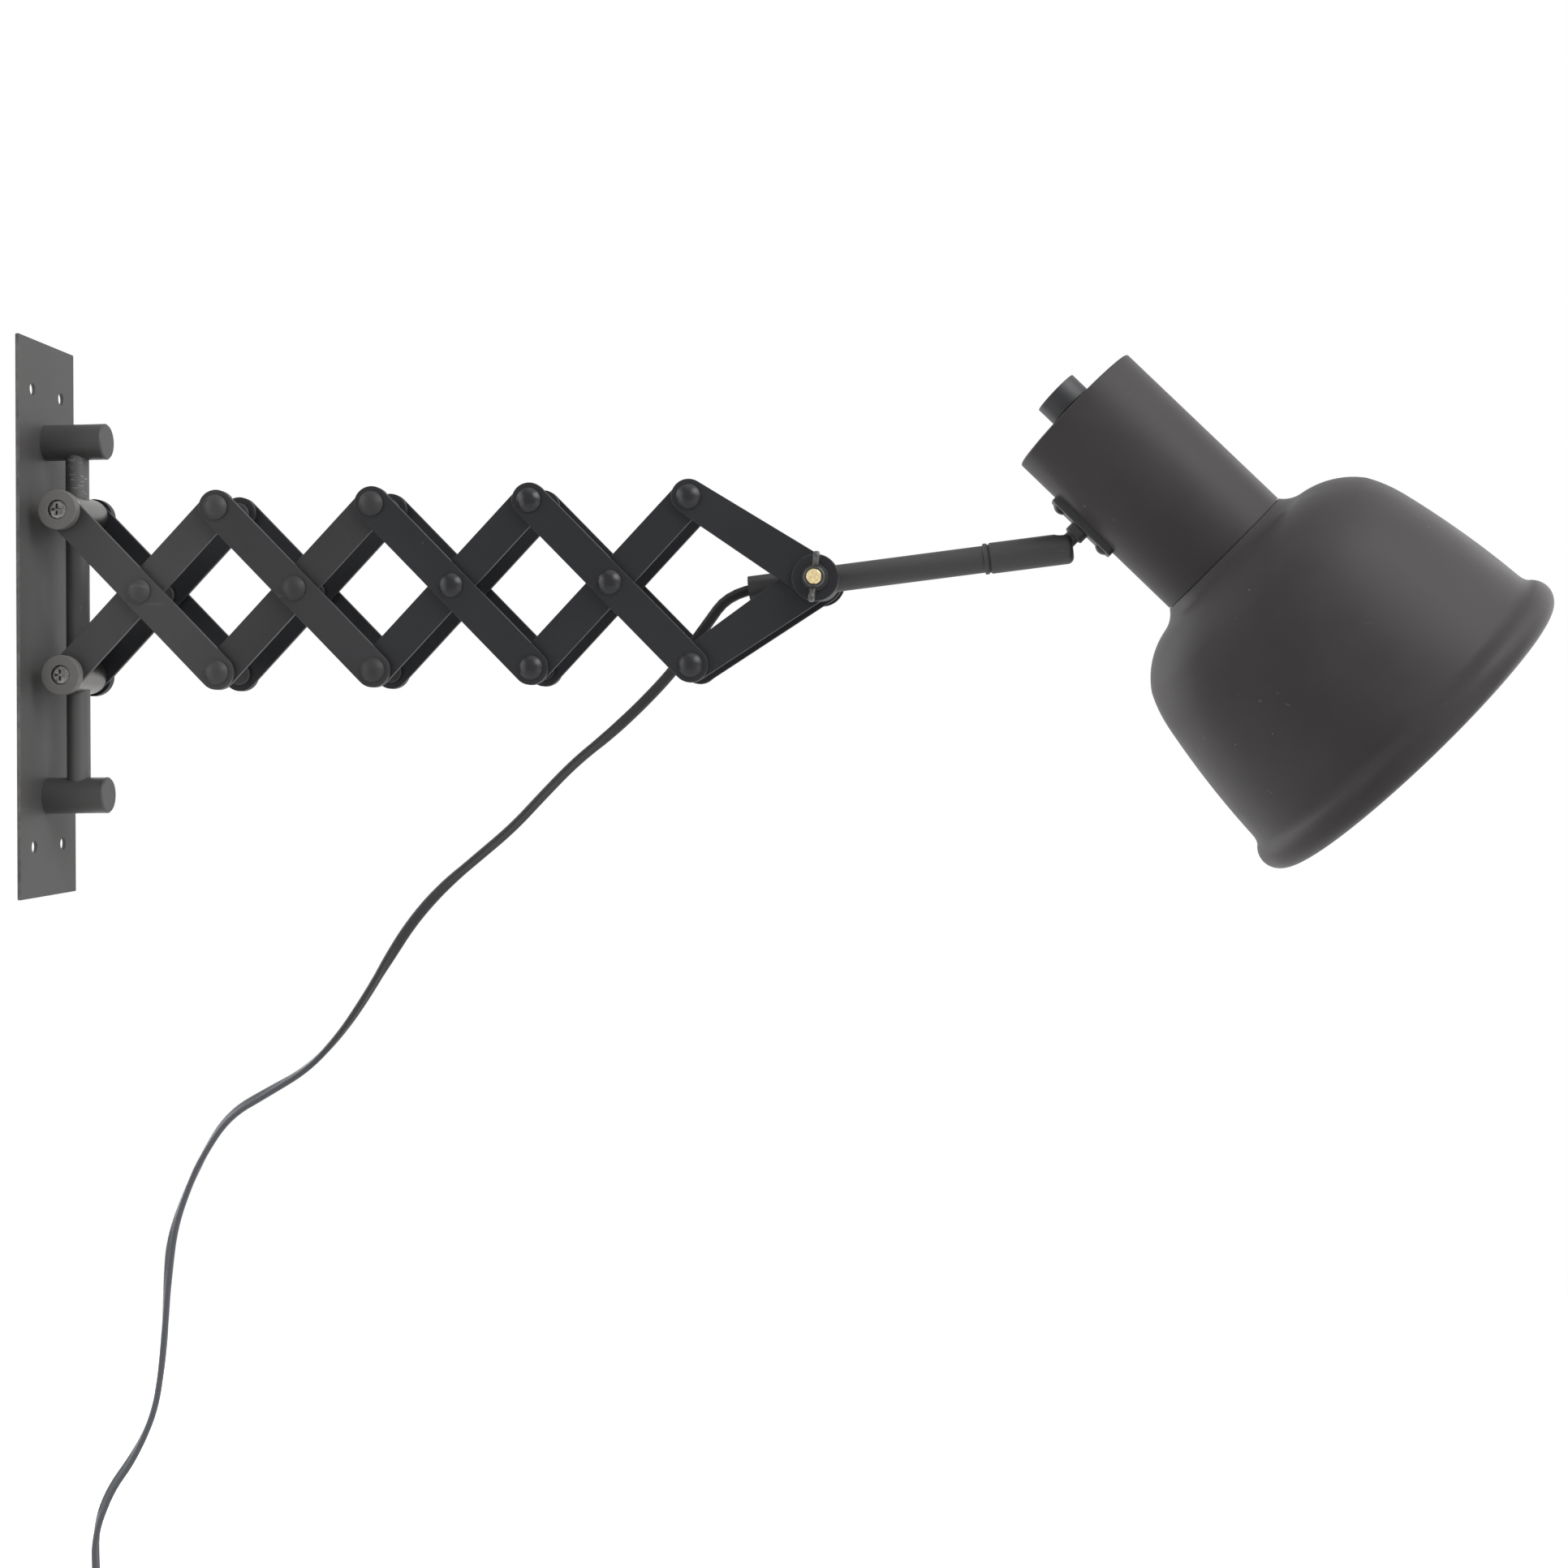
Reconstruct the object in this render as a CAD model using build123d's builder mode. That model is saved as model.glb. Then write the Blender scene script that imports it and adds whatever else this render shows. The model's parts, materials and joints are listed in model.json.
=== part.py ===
"""Accordion wall lamp: a scissor arm on a wall rod, with a ball-jointed lamp head."""
import math
import os

from build123d import *

os.makedirs("parts", exist_ok=True)

# Wall bracket, millimetres: X out of the wall, Z up, origin at the middle of the plate's back
plate_height = 231.0
plate_width = 54.5
plate_thickness = 1.5
plate_corner = 0.6
wall_hole_diameter = 5.2
wall_hole_spacing_y = 28.0
wall_hole_from_end = 21.0
wall_hole_spacing_z = plate_height - 2 * wall_hole_from_end
post_diameter = 15.0
post_length = 26.0
post_from_end = 41.6
post_height = plate_height / 2 - post_from_end
post_edge = 0.6
post_screw_diameter = 5.0
post_screw_head = 9.0
post_screw_depth = 9.0
rod_diameter = 9.5
rod_seat = 10.0

# Scissor lattice
bar_width = 14.2
bar_thickness = 2.0
half_pitch = 46.94
fold_angle = 46.18
end_bar_length = 61.1
scissor_height = 9.85
cross_count = 4
side_gap = 24.4
layer_gap = 0.3
rivet_diameter = 6.0
rivet_head_diameter = 10.4
rivet_head_height = 2.6
rivet_tail_diameter = 9.0
rivet_tail_height = 1.3
clamp_eye_diameter = 17.4
loose_eye_diameter = 11.2
loose_eye_drop = 2.1

# Sleeves on the rod
sleeve_diameter = 14.8
cap_diameter = 16.4
cap_thickness = 4.2
spigot_diameter = 9.0
cap_screw_head = 7.4
cap_screw_diameter = 4.0
cap_screw_length = 13.0
cap_recess = 1.0

# Arm pivot
hub_diameter = 16.0
stud_diameter = 6.0
stud_depth = 6.0
disc_diameter = 19.0
disc_thickness = 2.6
wing_hub_diameter = 9.6
wing_hub_height = 5.0
wing_span = 20.6
wing_height = 8.0
wing_thickness = 2.5
stud_proud = 2.4
rear_head_diameter = 11.0
rear_head_height = 3.2

# Arm tube and ball joint
arm_angle = 6.3
tube_diameter = 11.0
tube_wall = 1.0
tube_behind = 28.5
bush_length = 8.0
ball_reach = 98.4
ball_diameter = 9.6
socket_diameter = 12.6
socket_length = 36.0
socket_mouth = 5.0
socket_groove = 0.7
socket_groove_from_start = 2.2
socket_nose_edge = 2.6
stem_neck_diameter = 6.0
stem_neck_length = 7.2
stem_diameter = 8.4
tilt_back = 40.0

# Lamp head
neck_angle = 45.3
neck_diameter = 60.9
neck_length = 83.2
neck_wall = 1.5
cap_edge = 0.45
stem_from_cap = 35.4
ball_stand = 13.6
saddle_length = 32.0
saddle_width = 12.0
saddle_thickness = 2.4
saddle_screw_spacing = 23.2
saddle_screw_head = 6.2
saddle_screw_height = 1.6
saddle_screw_diameter = 3.4
knob_diameter = 19.4
knob_height = 8.6
knob_stand = 1.8
knob_edge = 0.3
knob_stem_diameter = 9.4
holder_diameter = 40.0
holder_length = 50.0
holder_start = 29.0
bulb_bore_diameter = 26.5
bulb_bore_depth = 24.0
bracket_thickness = 2.0
switch_box_diameter = 18.0
switch_box_gap = 4.0
shade_wall = 1.4
shade_seam = 0.8
shade_collar = 8.0
flare_depth = 5.15
flare_diameter = 76.8
flare_bow = 0.1
shoulder_depth = 25.3
shoulder_diameter = 126.6
shoulder_swell_depth = 10.4
shoulder_swell_diameter = 102.3
cone_depth = 91.1
cone_diameter = 145.5
cone_swell_diameter = 139.1
lip_diameter = 154.3
lip_depth = 104.8

# Cord
cord_diameter = 5.0
coil_diameter = 55.0
coil_turns = 7
coil_pitch = 5.8
coil_lead = 6.0
coil_tail = 14.0
cord_join_radius = 40.0
cord_join_gap = 0.3
tie_width = 8.0
tie_thickness = 1.2
plug_length = 30.0
plug_width = 25.0
plug_thickness = 13.0
plug_neck = 20.0
pin_diameter = 4.0
pin_length = 19.0
pin_spacing = 19.0

# Clearances
running_fit = 0.05
side_play = 0.2
ball_clearance = 0.25
seat_clearance = 0.1

# Places worked out from the sizes above
rod_x = plate_thickness + post_length / 2
fold = math.radians(fold_angle)
step_x = half_pitch * math.cos(fold)
step_z = half_pitch * math.sin(fold)
end_angle = math.asin(step_z / end_bar_length)
hub_x = rod_x + 2 * cross_count * step_x + end_bar_length * math.cos(end_angle)
inner_face = side_gap / 2
inner_back = inner_face + bar_thickness
outer_face = inner_back + layer_gap
outer_back = outer_face + bar_thickness
arm = math.radians(arm_angle)
arm_way = Vector(math.cos(arm), 0, math.sin(arm))
hub = Vector(hub_x, 0, scissor_height)
ball = hub + arm_way * ball_reach
neck = math.radians(neck_angle)
neck_way = Vector(math.cos(neck), 0, -math.sin(neck))
stem_way = Vector(math.sin(neck), 0, math.cos(neck))
neck_radius = neck_diameter / 2
neck_inside = neck_radius - neck_wall
cap_centre = ball + stem_way * (ball_stand + neck_radius) - neck_way * stem_from_cap
arm_plane = Plane(origin=hub, x_dir=arm_way, z_dir=(0, -1, 0))
neck_plane = Plane(origin=cap_centre, x_dir=neck_way, z_dir=(0, -1, 0))
stem_plane = Plane(origin=ball, x_dir=stem_way, z_dir=(0, -1, 0))
sides = {"front": -1, "rear": 1}


def middle(i):
    """Middle pivot of crossed pair i, counted from the wall."""
    return (rod_x + (2 * i - 1) * step_x, scissor_height)


def upper(i):
    """Upper pivot after crossed pair i; upper(0) is on the upper sleeve."""
    return (rod_x + 2 * i * step_x, scissor_height + step_z)


def lower(i):
    """Lower pivot after crossed pair i; lower(0) is on the lower sleeve."""
    return (rod_x + 2 * i * step_x, scissor_height - step_z)


def save(part, name):
    part.label = name
    export_step(part, f"parts/{name}.step")


def layer_plane(side, near, far):
    """Plane on which a layer between two distances from the mid plane is drawn, extruded towards -Y."""
    return Plane.XZ.offset(near if side < 0 else -far)


def flat_bar(name, start, end, side, near, holes, clamp_eye=0.0):
    """Flat bar with round ends between two pivots, and a hole (x, z, diameter) at each pivot."""
    run = (end[0] - start[0], end[1] - start[1])
    length = math.hypot(*run)
    turn = math.degrees(math.atan2(run[1], run[0]))
    with BuildPart() as bar:
        with BuildSketch(layer_plane(side, near, near + bar_thickness)):
            with Locations(((start[0] + end[0]) / 2, (start[1] + end[1]) / 2)):
                SlotCenterToCenter(length, bar_width, rotation=turn)
            if clamp_eye:
                with Locations(end):
                    Circle(clamp_eye / 2)
            for x, z, diameter in holes:
                with Locations((x, z)):
                    Circle(diameter / 2, mode=Mode.SUBTRACT)
        extrude(amount=bar_thickness)
    save(bar.part, name)


def dome(radius, height, base):
    """Rim, middle and top points of a dome drawn as (radius, distance)."""
    ball_radius = (radius ** 2 + height ** 2) / (2 * height)
    half = math.asin(radius / ball_radius) / 2
    centre = base + height - ball_radius
    return (radius, base), (ball_radius * math.sin(half), centre + ball_radius * math.cos(half)), (0, base + height)


def pivot_plane(place):
    """Plane through a pivot with X across it and Y along its axis."""
    return Plane(origin=(place[0], 0, place[1]), x_dir=(1, 0, 0), z_dir=(0, 0, 1))


def rivets(name, places, fixed_outer):
    """Domed rivets at the pivots, on both sides; they are tight in one bar and turn in the other."""
    head_base = outer_back + (0 if fixed_outer else side_play)
    tail_base = inner_face - (side_play if fixed_outer else 0)
    head_radius = rivet_head_diameter / 2
    tail_radius = rivet_tail_diameter / 2
    shank = rivet_diameter / 2
    with BuildPart() as group:
        for place in places:
            for side in sides.values():
                rim, swell, top = dome(head_radius, rivet_head_height, head_base)
                tail_end = tail_base - rivet_tail_height
                with BuildSketch(pivot_plane(place)):
                    with BuildLine():
                        ThreePointArc((rim[0], side * rim[1]), (swell[0], side * swell[1]), (0, side * top[1]))
                        Polyline(
                            (0, side * top[1]),
                            (0, side * tail_end),
                            (tail_radius - rivet_tail_height / 2, side * tail_end),
                            (tail_radius, side * (tail_end + rivet_tail_height / 2)),
                            (tail_radius, side * tail_base),
                            (shank, side * tail_base),
                            (shank, side * head_base),
                            (rim[0], side * rim[1]),
                        )
                    make_face()
                revolve(axis=Axis((place[0], 0, place[1]), (0, 1, 0)))
    save(group.part, name)


# Wall plate with its four screw holes and the countersinks of the post screws behind
with BuildPart() as wall_plate:
    with BuildSketch(Plane.YZ):
        RectangleRounded(plate_width, plate_height, plate_corner)
        with GridLocations(wall_hole_spacing_y, wall_hole_spacing_z, 2, 2):
            Circle(wall_hole_diameter / 2, mode=Mode.SUBTRACT)
        with Locations((0, post_height), (0, -post_height)):
            Circle(post_screw_diameter / 2, mode=Mode.SUBTRACT)
    extrude(amount=plate_thickness)
    for place in (post_height, -post_height):
        with BuildSketch(Plane(origin=(0, 0, place), x_dir=(1, 0, 0), z_dir=(0, -1, 0))):
            with BuildLine():
                Polyline(
                    (0, 0),
                    (0, post_screw_head / 2),
                    (plate_thickness, post_screw_diameter / 2),
                    (plate_thickness, 0),
                    close=True,
                )
            make_face()
        revolve(axis=Axis((0, 0, place), (1, 0, 0)), mode=Mode.SUBTRACT)
save(wall_plate.part, "wall_plate")

# Posts, cross-drilled for the rod from their inner sides
for name, way in (("upper_post", 1), ("lower_post", -1)):
    rod_mouth = post_height - post_diameter / 2
    with BuildPart() as post:
        with BuildSketch(Plane.YZ.offset(plate_thickness)):
            with Locations((0, way * post_height)):
                Circle(post_diameter / 2)
        extrude(amount=post_length)
        chamfer(post.faces().sort_by(Axis.X)[-1].edges(), post_edge)
        with BuildSketch(Plane.YZ.offset(plate_thickness)):
            with Locations((0, way * post_height)):
                Circle(post_screw_diameter / 2)
        extrude(amount=post_screw_depth - plate_thickness, mode=Mode.SUBTRACT)
        with BuildSketch(Plane.XY.offset(way * (rod_mouth + rod_seat + seat_clearance))):
            with Locations((rod_x, 0)):
                Circle(rod_diameter / 2 + running_fit)
        extrude(amount=-way * (rod_seat + post_diameter / 2), mode=Mode.SUBTRACT)
    save(post.part, name)

# Countersunk screws that hold the posts from behind the plate
with BuildPart() as post_screws:
    for place in (post_height, -post_height):
        with BuildSketch(Plane(origin=(0, 0, place), x_dir=(1, 0, 0), z_dir=(0, -1, 0))):
            with BuildLine():
                Polyline(
                    (0, 0),
                    (0, post_screw_head / 2),
                    (plate_thickness, post_screw_diameter / 2),
                    (post_screw_depth, post_screw_diameter / 2),
                    (post_screw_depth, 0),
                    close=True,
                )
            make_face()
        revolve(axis=Axis((0, 0, place), (1, 0, 0)))
save(post_screws.part, "post_screws")

# Guide rod, seated in both posts
with BuildPart() as guide_rod:
    rod_half = post_height - post_diameter / 2 + rod_seat
    with BuildSketch(Plane.XY.offset(-rod_half)):
        with Locations((rod_x, 0)):
            Circle(rod_diameter / 2)
    extrude(amount=2 * rod_half)
save(guide_rod.part, "guide_rod")

# Sleeves on the rod, their shouldered cap discs and the cap screws
for name, place, bar_near in (("upper", upper(0), outer_face), ("lower", lower(0), inner_face)):
    sleeve_half = bar_near - side_play
    cap_base = bar_near + bar_thickness + side_play
    cap_end = cap_base + cap_thickness
    screw_floor = cap_end - cap_recess
    thread = cap_screw_diameter / 2
    with BuildPart() as sleeve:
        with BuildSketch(Plane.XZ.offset(-sleeve_half)):
            with Locations(place):
                Circle(sleeve_diameter / 2)
                Circle(thread, mode=Mode.SUBTRACT)
        extrude(amount=2 * sleeve_half)
        with BuildSketch(Plane.XZ.offset(cap_screw_length - cap_end)):
            with Locations(place):
                Circle(thread)
        extrude(amount=2 * (cap_end - cap_screw_length))
        with BuildSketch(Plane.XY.offset(place[1] - sleeve_diameter)):
            with Locations((rod_x, 0)):
                Circle(rod_diameter / 2 + running_fit)
        extrude(amount=2 * sleeve_diameter, mode=Mode.SUBTRACT)
        chamfer(sleeve.faces().filter_by(Axis.Y).edges().filter_by(GeomType.CIRCLE).group_by(
            SortBy.RADIUS)[-1], 0.4)
    save(sleeve.part, f"{name}_sleeve")
    with BuildPart() as caps:
        for side in sides.values():
            with BuildSketch(pivot_plane(place)):
                with BuildLine():
                    Polyline(
                        (thread, side * sleeve_half),
                        (spigot_diameter / 2, side * sleeve_half),
                        (spigot_diameter / 2, side * cap_base),
                        (cap_diameter / 2, side * cap_base),
                        (cap_diameter / 2, side * (cap_end - 0.5)),
                        (cap_diameter / 2 - 0.5, side * cap_end),
                        (cap_screw_head / 2 + 0.3, side * cap_end),
                        (cap_screw_head / 2 + 0.3, side * (screw_floor - 1.0)),
                        (thread, side * (screw_floor - 1.0)),
                        close=True,
                    )
                make_face()
            revolve(axis=Axis((place[0], 0, place[1]), (0, 1, 0)))
    save(caps.part, f"{name}_caps")
    with BuildPart() as cap_screws:
        for side in sides.values():
            with BuildSketch(pivot_plane(place)):
                with BuildLine():
                    Polyline(
                        (0, side * (cap_end - cap_screw_length)),
                        (thread, side * (cap_end - cap_screw_length)),
                        (thread, side * (screw_floor - 1.0)),
                        (cap_screw_head / 2, side * (screw_floor - 1.0)),
                        (cap_screw_head / 2, side * (screw_floor + 0.4)),
                        (cap_screw_head / 2 - 1.0, side * (screw_floor + 0.9)),
                        (0, side * (screw_floor + 0.9)),
                        close=True,
                    )
                make_face()
            revolve(axis=Axis((place[0], 0, place[1]), (0, 1, 0)))
            with BuildSketch(layer_plane(side, screw_floor - 0.6, screw_floor + 2)):
                with Locations(place):
                    Rectangle(4.6, 1.0)
                    Rectangle(1.0, 4.6)
            extrude(amount=screw_floor + 2 - (screw_floor - 0.6), mode=Mode.SUBTRACT)
    save(cap_screws.part, f"{name}_sleeve_screws")

# Crossed bars: the falling bars are the outer layer, the rising bars the inner one
turning = rivet_diameter + 2 * running_fit
spigot_hole = spigot_diameter + 2 * running_fit
for i in range(1, cross_count + 1):
    first = spigot_hole if i == 1 else turning
    falling = [(*upper(i - 1), first), (*middle(i), rivet_diameter), (*lower(i), rivet_diameter)]
    rising = [(*lower(i - 1), first), (*middle(i), turning), (*upper(i), rivet_diameter)]
    for side_name, side in sides.items():
        flat_bar(f"falling_bar_{i}_{side_name}", upper(i - 1), lower(i), side, outer_face, falling)
        flat_bar(f"rising_bar_{i}_{side_name}", lower(i - 1), upper(i), side, inner_face, rising)
    rivets(f"falling_rivets_{i}", [middle(i), lower(i)], True)
    rivets(f"rising_rivets_{i}", [upper(i)], False)

# End bars that meet at the arm's pivot; the lower one has a wide eye there, hidden by the disc
pivot = (hub_x, scissor_height)
stud_hole = stud_diameter + 2 * running_fit
upper_holes = [(*upper(cross_count), turning), (*pivot, stud_hole)]
lower_holes = [(*lower(cross_count), turning), (hub_x, scissor_height - loose_eye_drop, loose_eye_diameter)]
for side_name, side in sides.items():
    flat_bar(f"upper_end_bar_{side_name}", upper(cross_count), pivot, side, outer_face, upper_holes,
             clamp_eye_diameter)
    flat_bar(f"lower_end_bar_{side_name}", lower(cross_count), pivot, side, inner_face, lower_holes,
             clamp_eye_diameter)

# Hub block between the two sides, drilled for the tube and the studs
hub_half = inner_face - side_play
stud_root = hub_half - stud_depth
with BuildPart() as arm_hub:
    with BuildSketch(Plane.XZ.offset(-hub_half)):
        with Locations(pivot):
            Circle(hub_diameter / 2)
            Circle(stud_diameter / 2, mode=Mode.SUBTRACT)
    extrude(amount=2 * hub_half)
    with BuildSketch(Plane.XZ.offset(-stud_root)):
        with Locations(pivot):
            Circle(stud_diameter / 2)
    extrude(amount=2 * stud_root)
    with BuildSketch(Plane(origin=hub - arm_way * hub_diameter, x_dir=(0, 1, 0), z_dir=arm_way)):
        Circle(tube_diameter / 2)
    extrude(amount=2 * hub_diameter, mode=Mode.SUBTRACT)
save(arm_hub.part, "arm_hub")

# Friction discs outside the end bars
disc_base = outer_back + side_play
disc_end = disc_base + disc_thickness
with BuildPart() as friction_discs:
    for side in sides.values():
        with BuildSketch(pivot_plane(pivot)):
            with BuildLine():
                Polyline(
                    (stud_diameter / 2 + running_fit, side * disc_base),
                    (disc_diameter / 2, side * disc_base),
                    (disc_diameter / 2, side * (disc_end - 0.6)),
                    (disc_diameter / 2 - 0.6, side * disc_end),
                    (stud_diameter / 2 + running_fit, side * disc_end),
                    close=True,
                )
            make_face()
        revolve(axis=Axis((hub_x, 0, scissor_height), (0, 1, 0)))
save(friction_discs.part, "friction_discs")

# Brass stud in the front of the hub, its end proud of the wing nut
nut_base = disc_end + side_play
nut_end = nut_base + wing_hub_height
stud_end = nut_end + stud_proud
with BuildPart() as pivot_stud:
    with BuildSketch(Plane.XZ.offset(stud_root)):
        with Locations(pivot):
            Circle(stud_diameter / 2)
    extrude(amount=stud_end - stud_root)
    chamfer(pivot_stud.faces().sort_by(Axis.Y)[0].edges(), 0.6)
save(pivot_stud.part, "pivot_stud")

# Wing nut: a waisted hub with two ears
with BuildPart() as wing_nut:
    bore = stud_diameter / 2 + running_fit
    with BuildSketch(pivot_plane(pivot)):
        with BuildLine():
            Polyline(
                (bore, -nut_base),
                (wing_hub_diameter / 2 + 0.8, -nut_base),
                (wing_hub_diameter / 2, -nut_base - 1.6),
                (wing_hub_diameter / 2 - 0.6, -nut_end),
                (bore, -nut_end),
                close=True,
            )
        make_face()
    revolve(axis=Axis((hub_x, 0, scissor_height), (0, 1, 0)))
    for way in (1, -1):
        root = way * (bore + 0.6)
        tip = way * wing_span / 2
        with BuildSketch(Plane.YZ.offset(hub_x - wing_thickness / 2)):
            with BuildLine():
                Polyline(
                    (-nut_base - 0.8, scissor_height + root),
                    (-nut_base - 0.8, scissor_height + way * wing_hub_diameter / 2),
                    (-nut_base - 2.6, scissor_height + tip - way * 1.2),
                )
                ThreePointArc(
                    (-nut_base - 2.6, scissor_height + tip - way * 1.2),
                    (-nut_base - 0.75 * wing_height, scissor_height + tip),
                    (-nut_base - wing_height, scissor_height + tip - way * 2.6),
                )
                Polyline(
                    (-nut_base - wing_height, scissor_height + tip - way * 2.6),
                    (-nut_end + 0.4, scissor_height + root),
                    (-nut_base - 0.8, scissor_height + root),
                )
            make_face()
        extrude(amount=wing_thickness)
    with BuildSketch(Plane.XZ):
        with Locations(pivot):
            Circle(bore)
    extrude(amount=stud_end + wing_height, mode=Mode.SUBTRACT)
save(wing_nut.part, "wing_nut")

# Plain screw at the rear of the hub
with BuildPart() as rear_screw:
    rim, swell, top = dome(rear_head_diameter / 2, rear_head_height, disc_end + side_play)
    with BuildSketch(pivot_plane(pivot)):
        with BuildLine():
            ThreePointArc(rim, swell, top)
            Polyline(
                top,
                (0, stud_root),
                (stud_diameter / 2, stud_root),
                (stud_diameter / 2, rim[1]),
                rim,
            )
        make_face()
    revolve(axis=Axis((hub_x, 0, scissor_height), (0, 1, 0)))
save(rear_screw.part, "rear_screw")

# Arm tube through the hub, and the bush in its rear end
tube_radius = tube_diameter / 2
tube_inside = tube_radius - tube_wall
socket_end = ball_reach + socket_mouth
socket_start = socket_end - socket_length
ball_radius = ball_diameter / 2
cavity_radius = ball_radius + ball_clearance
tube_front = ball_reach - cavity_radius - 3.0
with BuildPart() as arm_tube:
    with BuildSketch(Plane(origin=hub - arm_way * tube_behind, x_dir=(0, 1, 0), z_dir=arm_way)):
        Circle(tube_radius)
        Circle(tube_inside, mode=Mode.SUBTRACT)
    extrude(amount=tube_behind + tube_front)
save(arm_tube.part, "arm_tube")

with BuildPart() as tube_bush:
    with BuildSketch(Plane(origin=hub - arm_way * tube_behind, x_dir=(0, 1, 0), z_dir=arm_way)):
        Circle(tube_inside)
        Circle(cord_diameter / 2, mode=Mode.SUBTRACT)
    extrude(amount=bush_length)
save(tube_bush.part, "tube_bush")

# Ball socket on the tube end: thin groove, ball cavity and the slot in which the stem tilts
socket_radius = socket_diameter / 2
nose_radius = socket_radius - socket_nose_edge
rest_tilt = math.degrees(math.acos(arm_way.dot(stem_way)))
slot_half = stem_neck_diameter / 2 + ball_clearance
slot_reach = 2 * socket_radius
with BuildPart() as ball_socket:
    with BuildSketch(arm_plane):
        with BuildLine():
            bore = tube_radius + running_fit
            groove = socket_start + socket_groove_from_start
            Polyline(
                (tube_front + seat_clearance, 0),
                (tube_front + seat_clearance, bore),
                (socket_start, bore),
                (socket_start, socket_radius - 0.3),
                (socket_start + 0.3, socket_radius),
                (groove - socket_groove, socket_radius),
                (groove, socket_radius - socket_groove),
                (groove + socket_groove, socket_radius),
                (socket_end - socket_nose_edge, socket_radius),
            )
            RadiusArc((socket_end - socket_nose_edge, socket_radius), (socket_end, nose_radius), socket_nose_edge)
            Polyline((socket_end, nose_radius), (socket_end, 0), (tube_front + seat_clearance, 0))
        make_face()
    revolve(axis=Axis(hub, arm_way))
    with Locations(Plane(origin=ball)):
        Sphere(cavity_radius, mode=Mode.SUBTRACT)
    for tilt in (rest_tilt - tilt_back, rest_tilt + tilt_back):
        aim = math.radians(arm_angle + tilt)
        way = Vector(math.cos(aim), 0, math.sin(aim))
        with BuildSketch(Plane(origin=ball, x_dir=(0, 1, 0), z_dir=way)):
            Circle(slot_half)
        extrude(amount=slot_reach, mode=Mode.SUBTRACT)
    with BuildSketch(Plane(origin=ball - Vector(0, slot_half, 0), x_dir=arm_way, z_dir=(0, -1, 0))):
        with BuildLine():
            low = math.radians(rest_tilt - tilt_back)
            high = math.radians(rest_tilt + tilt_back)
            near = (slot_reach * math.cos(low), slot_reach * math.sin(low))
            far = (slot_reach * math.cos(high), slot_reach * math.sin(high))
            Line((0, 0), near)
            RadiusArc(near, far, -slot_reach)
            Line(far, (0, 0))
        make_face()
    extrude(amount=-2 * slot_half, mode=Mode.SUBTRACT)
save(ball_socket.part, "ball_socket")

# Ball stud: ball, waist, stem and the tail that turns in the saddle
saddle_face = ball_stand - saddle_thickness
stem_end = saddle_face - side_play
tail_radius = stem_neck_diameter / 2
clip_radius = tail_radius + 2.0
clip_start = ball_stand + neck_radius - math.sqrt(neck_inside ** 2 - clip_radius ** 2) + side_play
with BuildPart() as ball_stud:
    with BuildSketch(stem_plane):
        with BuildLine():
            waist = math.sqrt(ball_radius ** 2 - tail_radius ** 2)
            RadiusArc((-ball_radius, 0), (0, ball_radius), ball_radius)
            RadiusArc((0, ball_radius), (waist, tail_radius), ball_radius)
            Polyline(
                (waist, tail_radius),
                (stem_neck_length, tail_radius),
                (stem_neck_length, stem_diameter / 2 - 0.4),
                (stem_neck_length + 0.4, stem_diameter / 2),
                (stem_end, stem_diameter / 2),
                (stem_end, tail_radius),
                (clip_start, tail_radius),
                (clip_start, clip_radius),
                (clip_start + 2.0, clip_radius),
                (clip_start + 2.0, 0),
                (-ball_radius, 0),
            )
        make_face()
    revolve(axis=Axis(ball, stem_way))
save(ball_stud.part, "ball_stud")

# Saddle plate curved to the neck, with the stud hole and two screw holes
saddle_plane = Plane(origin=ball + stem_way * saddle_face, x_dir=neck_way, z_dir=stem_way)
tail_hole = stem_neck_diameter / 2 + running_fit
screw_radius = saddle_screw_diameter / 2
with BuildPart() as saddle:
    with BuildSketch(saddle_plane):
        RectangleRounded(saddle_length, saddle_width, 2.5)
        Circle(tail_hole, mode=Mode.SUBTRACT)
        with GridLocations(saddle_screw_spacing, 1, 2, 1):
            Circle(screw_radius, mode=Mode.SUBTRACT)
    extrude(amount=saddle_thickness + 2)
    fillet(saddle.faces().sort_by(Axis(ball, stem_way))[0].outer_wire().edges(), 0.6)
    with BuildSketch(Plane(origin=cap_centre, x_dir=(0, 1, 0), z_dir=neck_way)):
        Circle(neck_radius)
    extrude(amount=neck_length, mode=Mode.SUBTRACT)
save(saddle.part, "saddle")

with BuildPart() as saddle_screws:
    for way in (1, -1):
        place = ball + neck_way * way * saddle_screw_spacing / 2
        rim, swell, top = dome(saddle_screw_head / 2, saddle_screw_height, -saddle_face)
        tip = ball_stand + neck_wall + 4.0
        with BuildSketch(Plane(origin=place, x_dir=neck_way, z_dir=(0, 1, 0))):
            with BuildLine():
                ThreePointArc(rim, swell, top)
                Polyline(top, (0, -tip), (screw_radius, -tip), (screw_radius, -saddle_face), rim)
            make_face()
        revolve(axis=Axis(place, stem_way))
save(saddle_screws.part, "saddle_screws")

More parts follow.
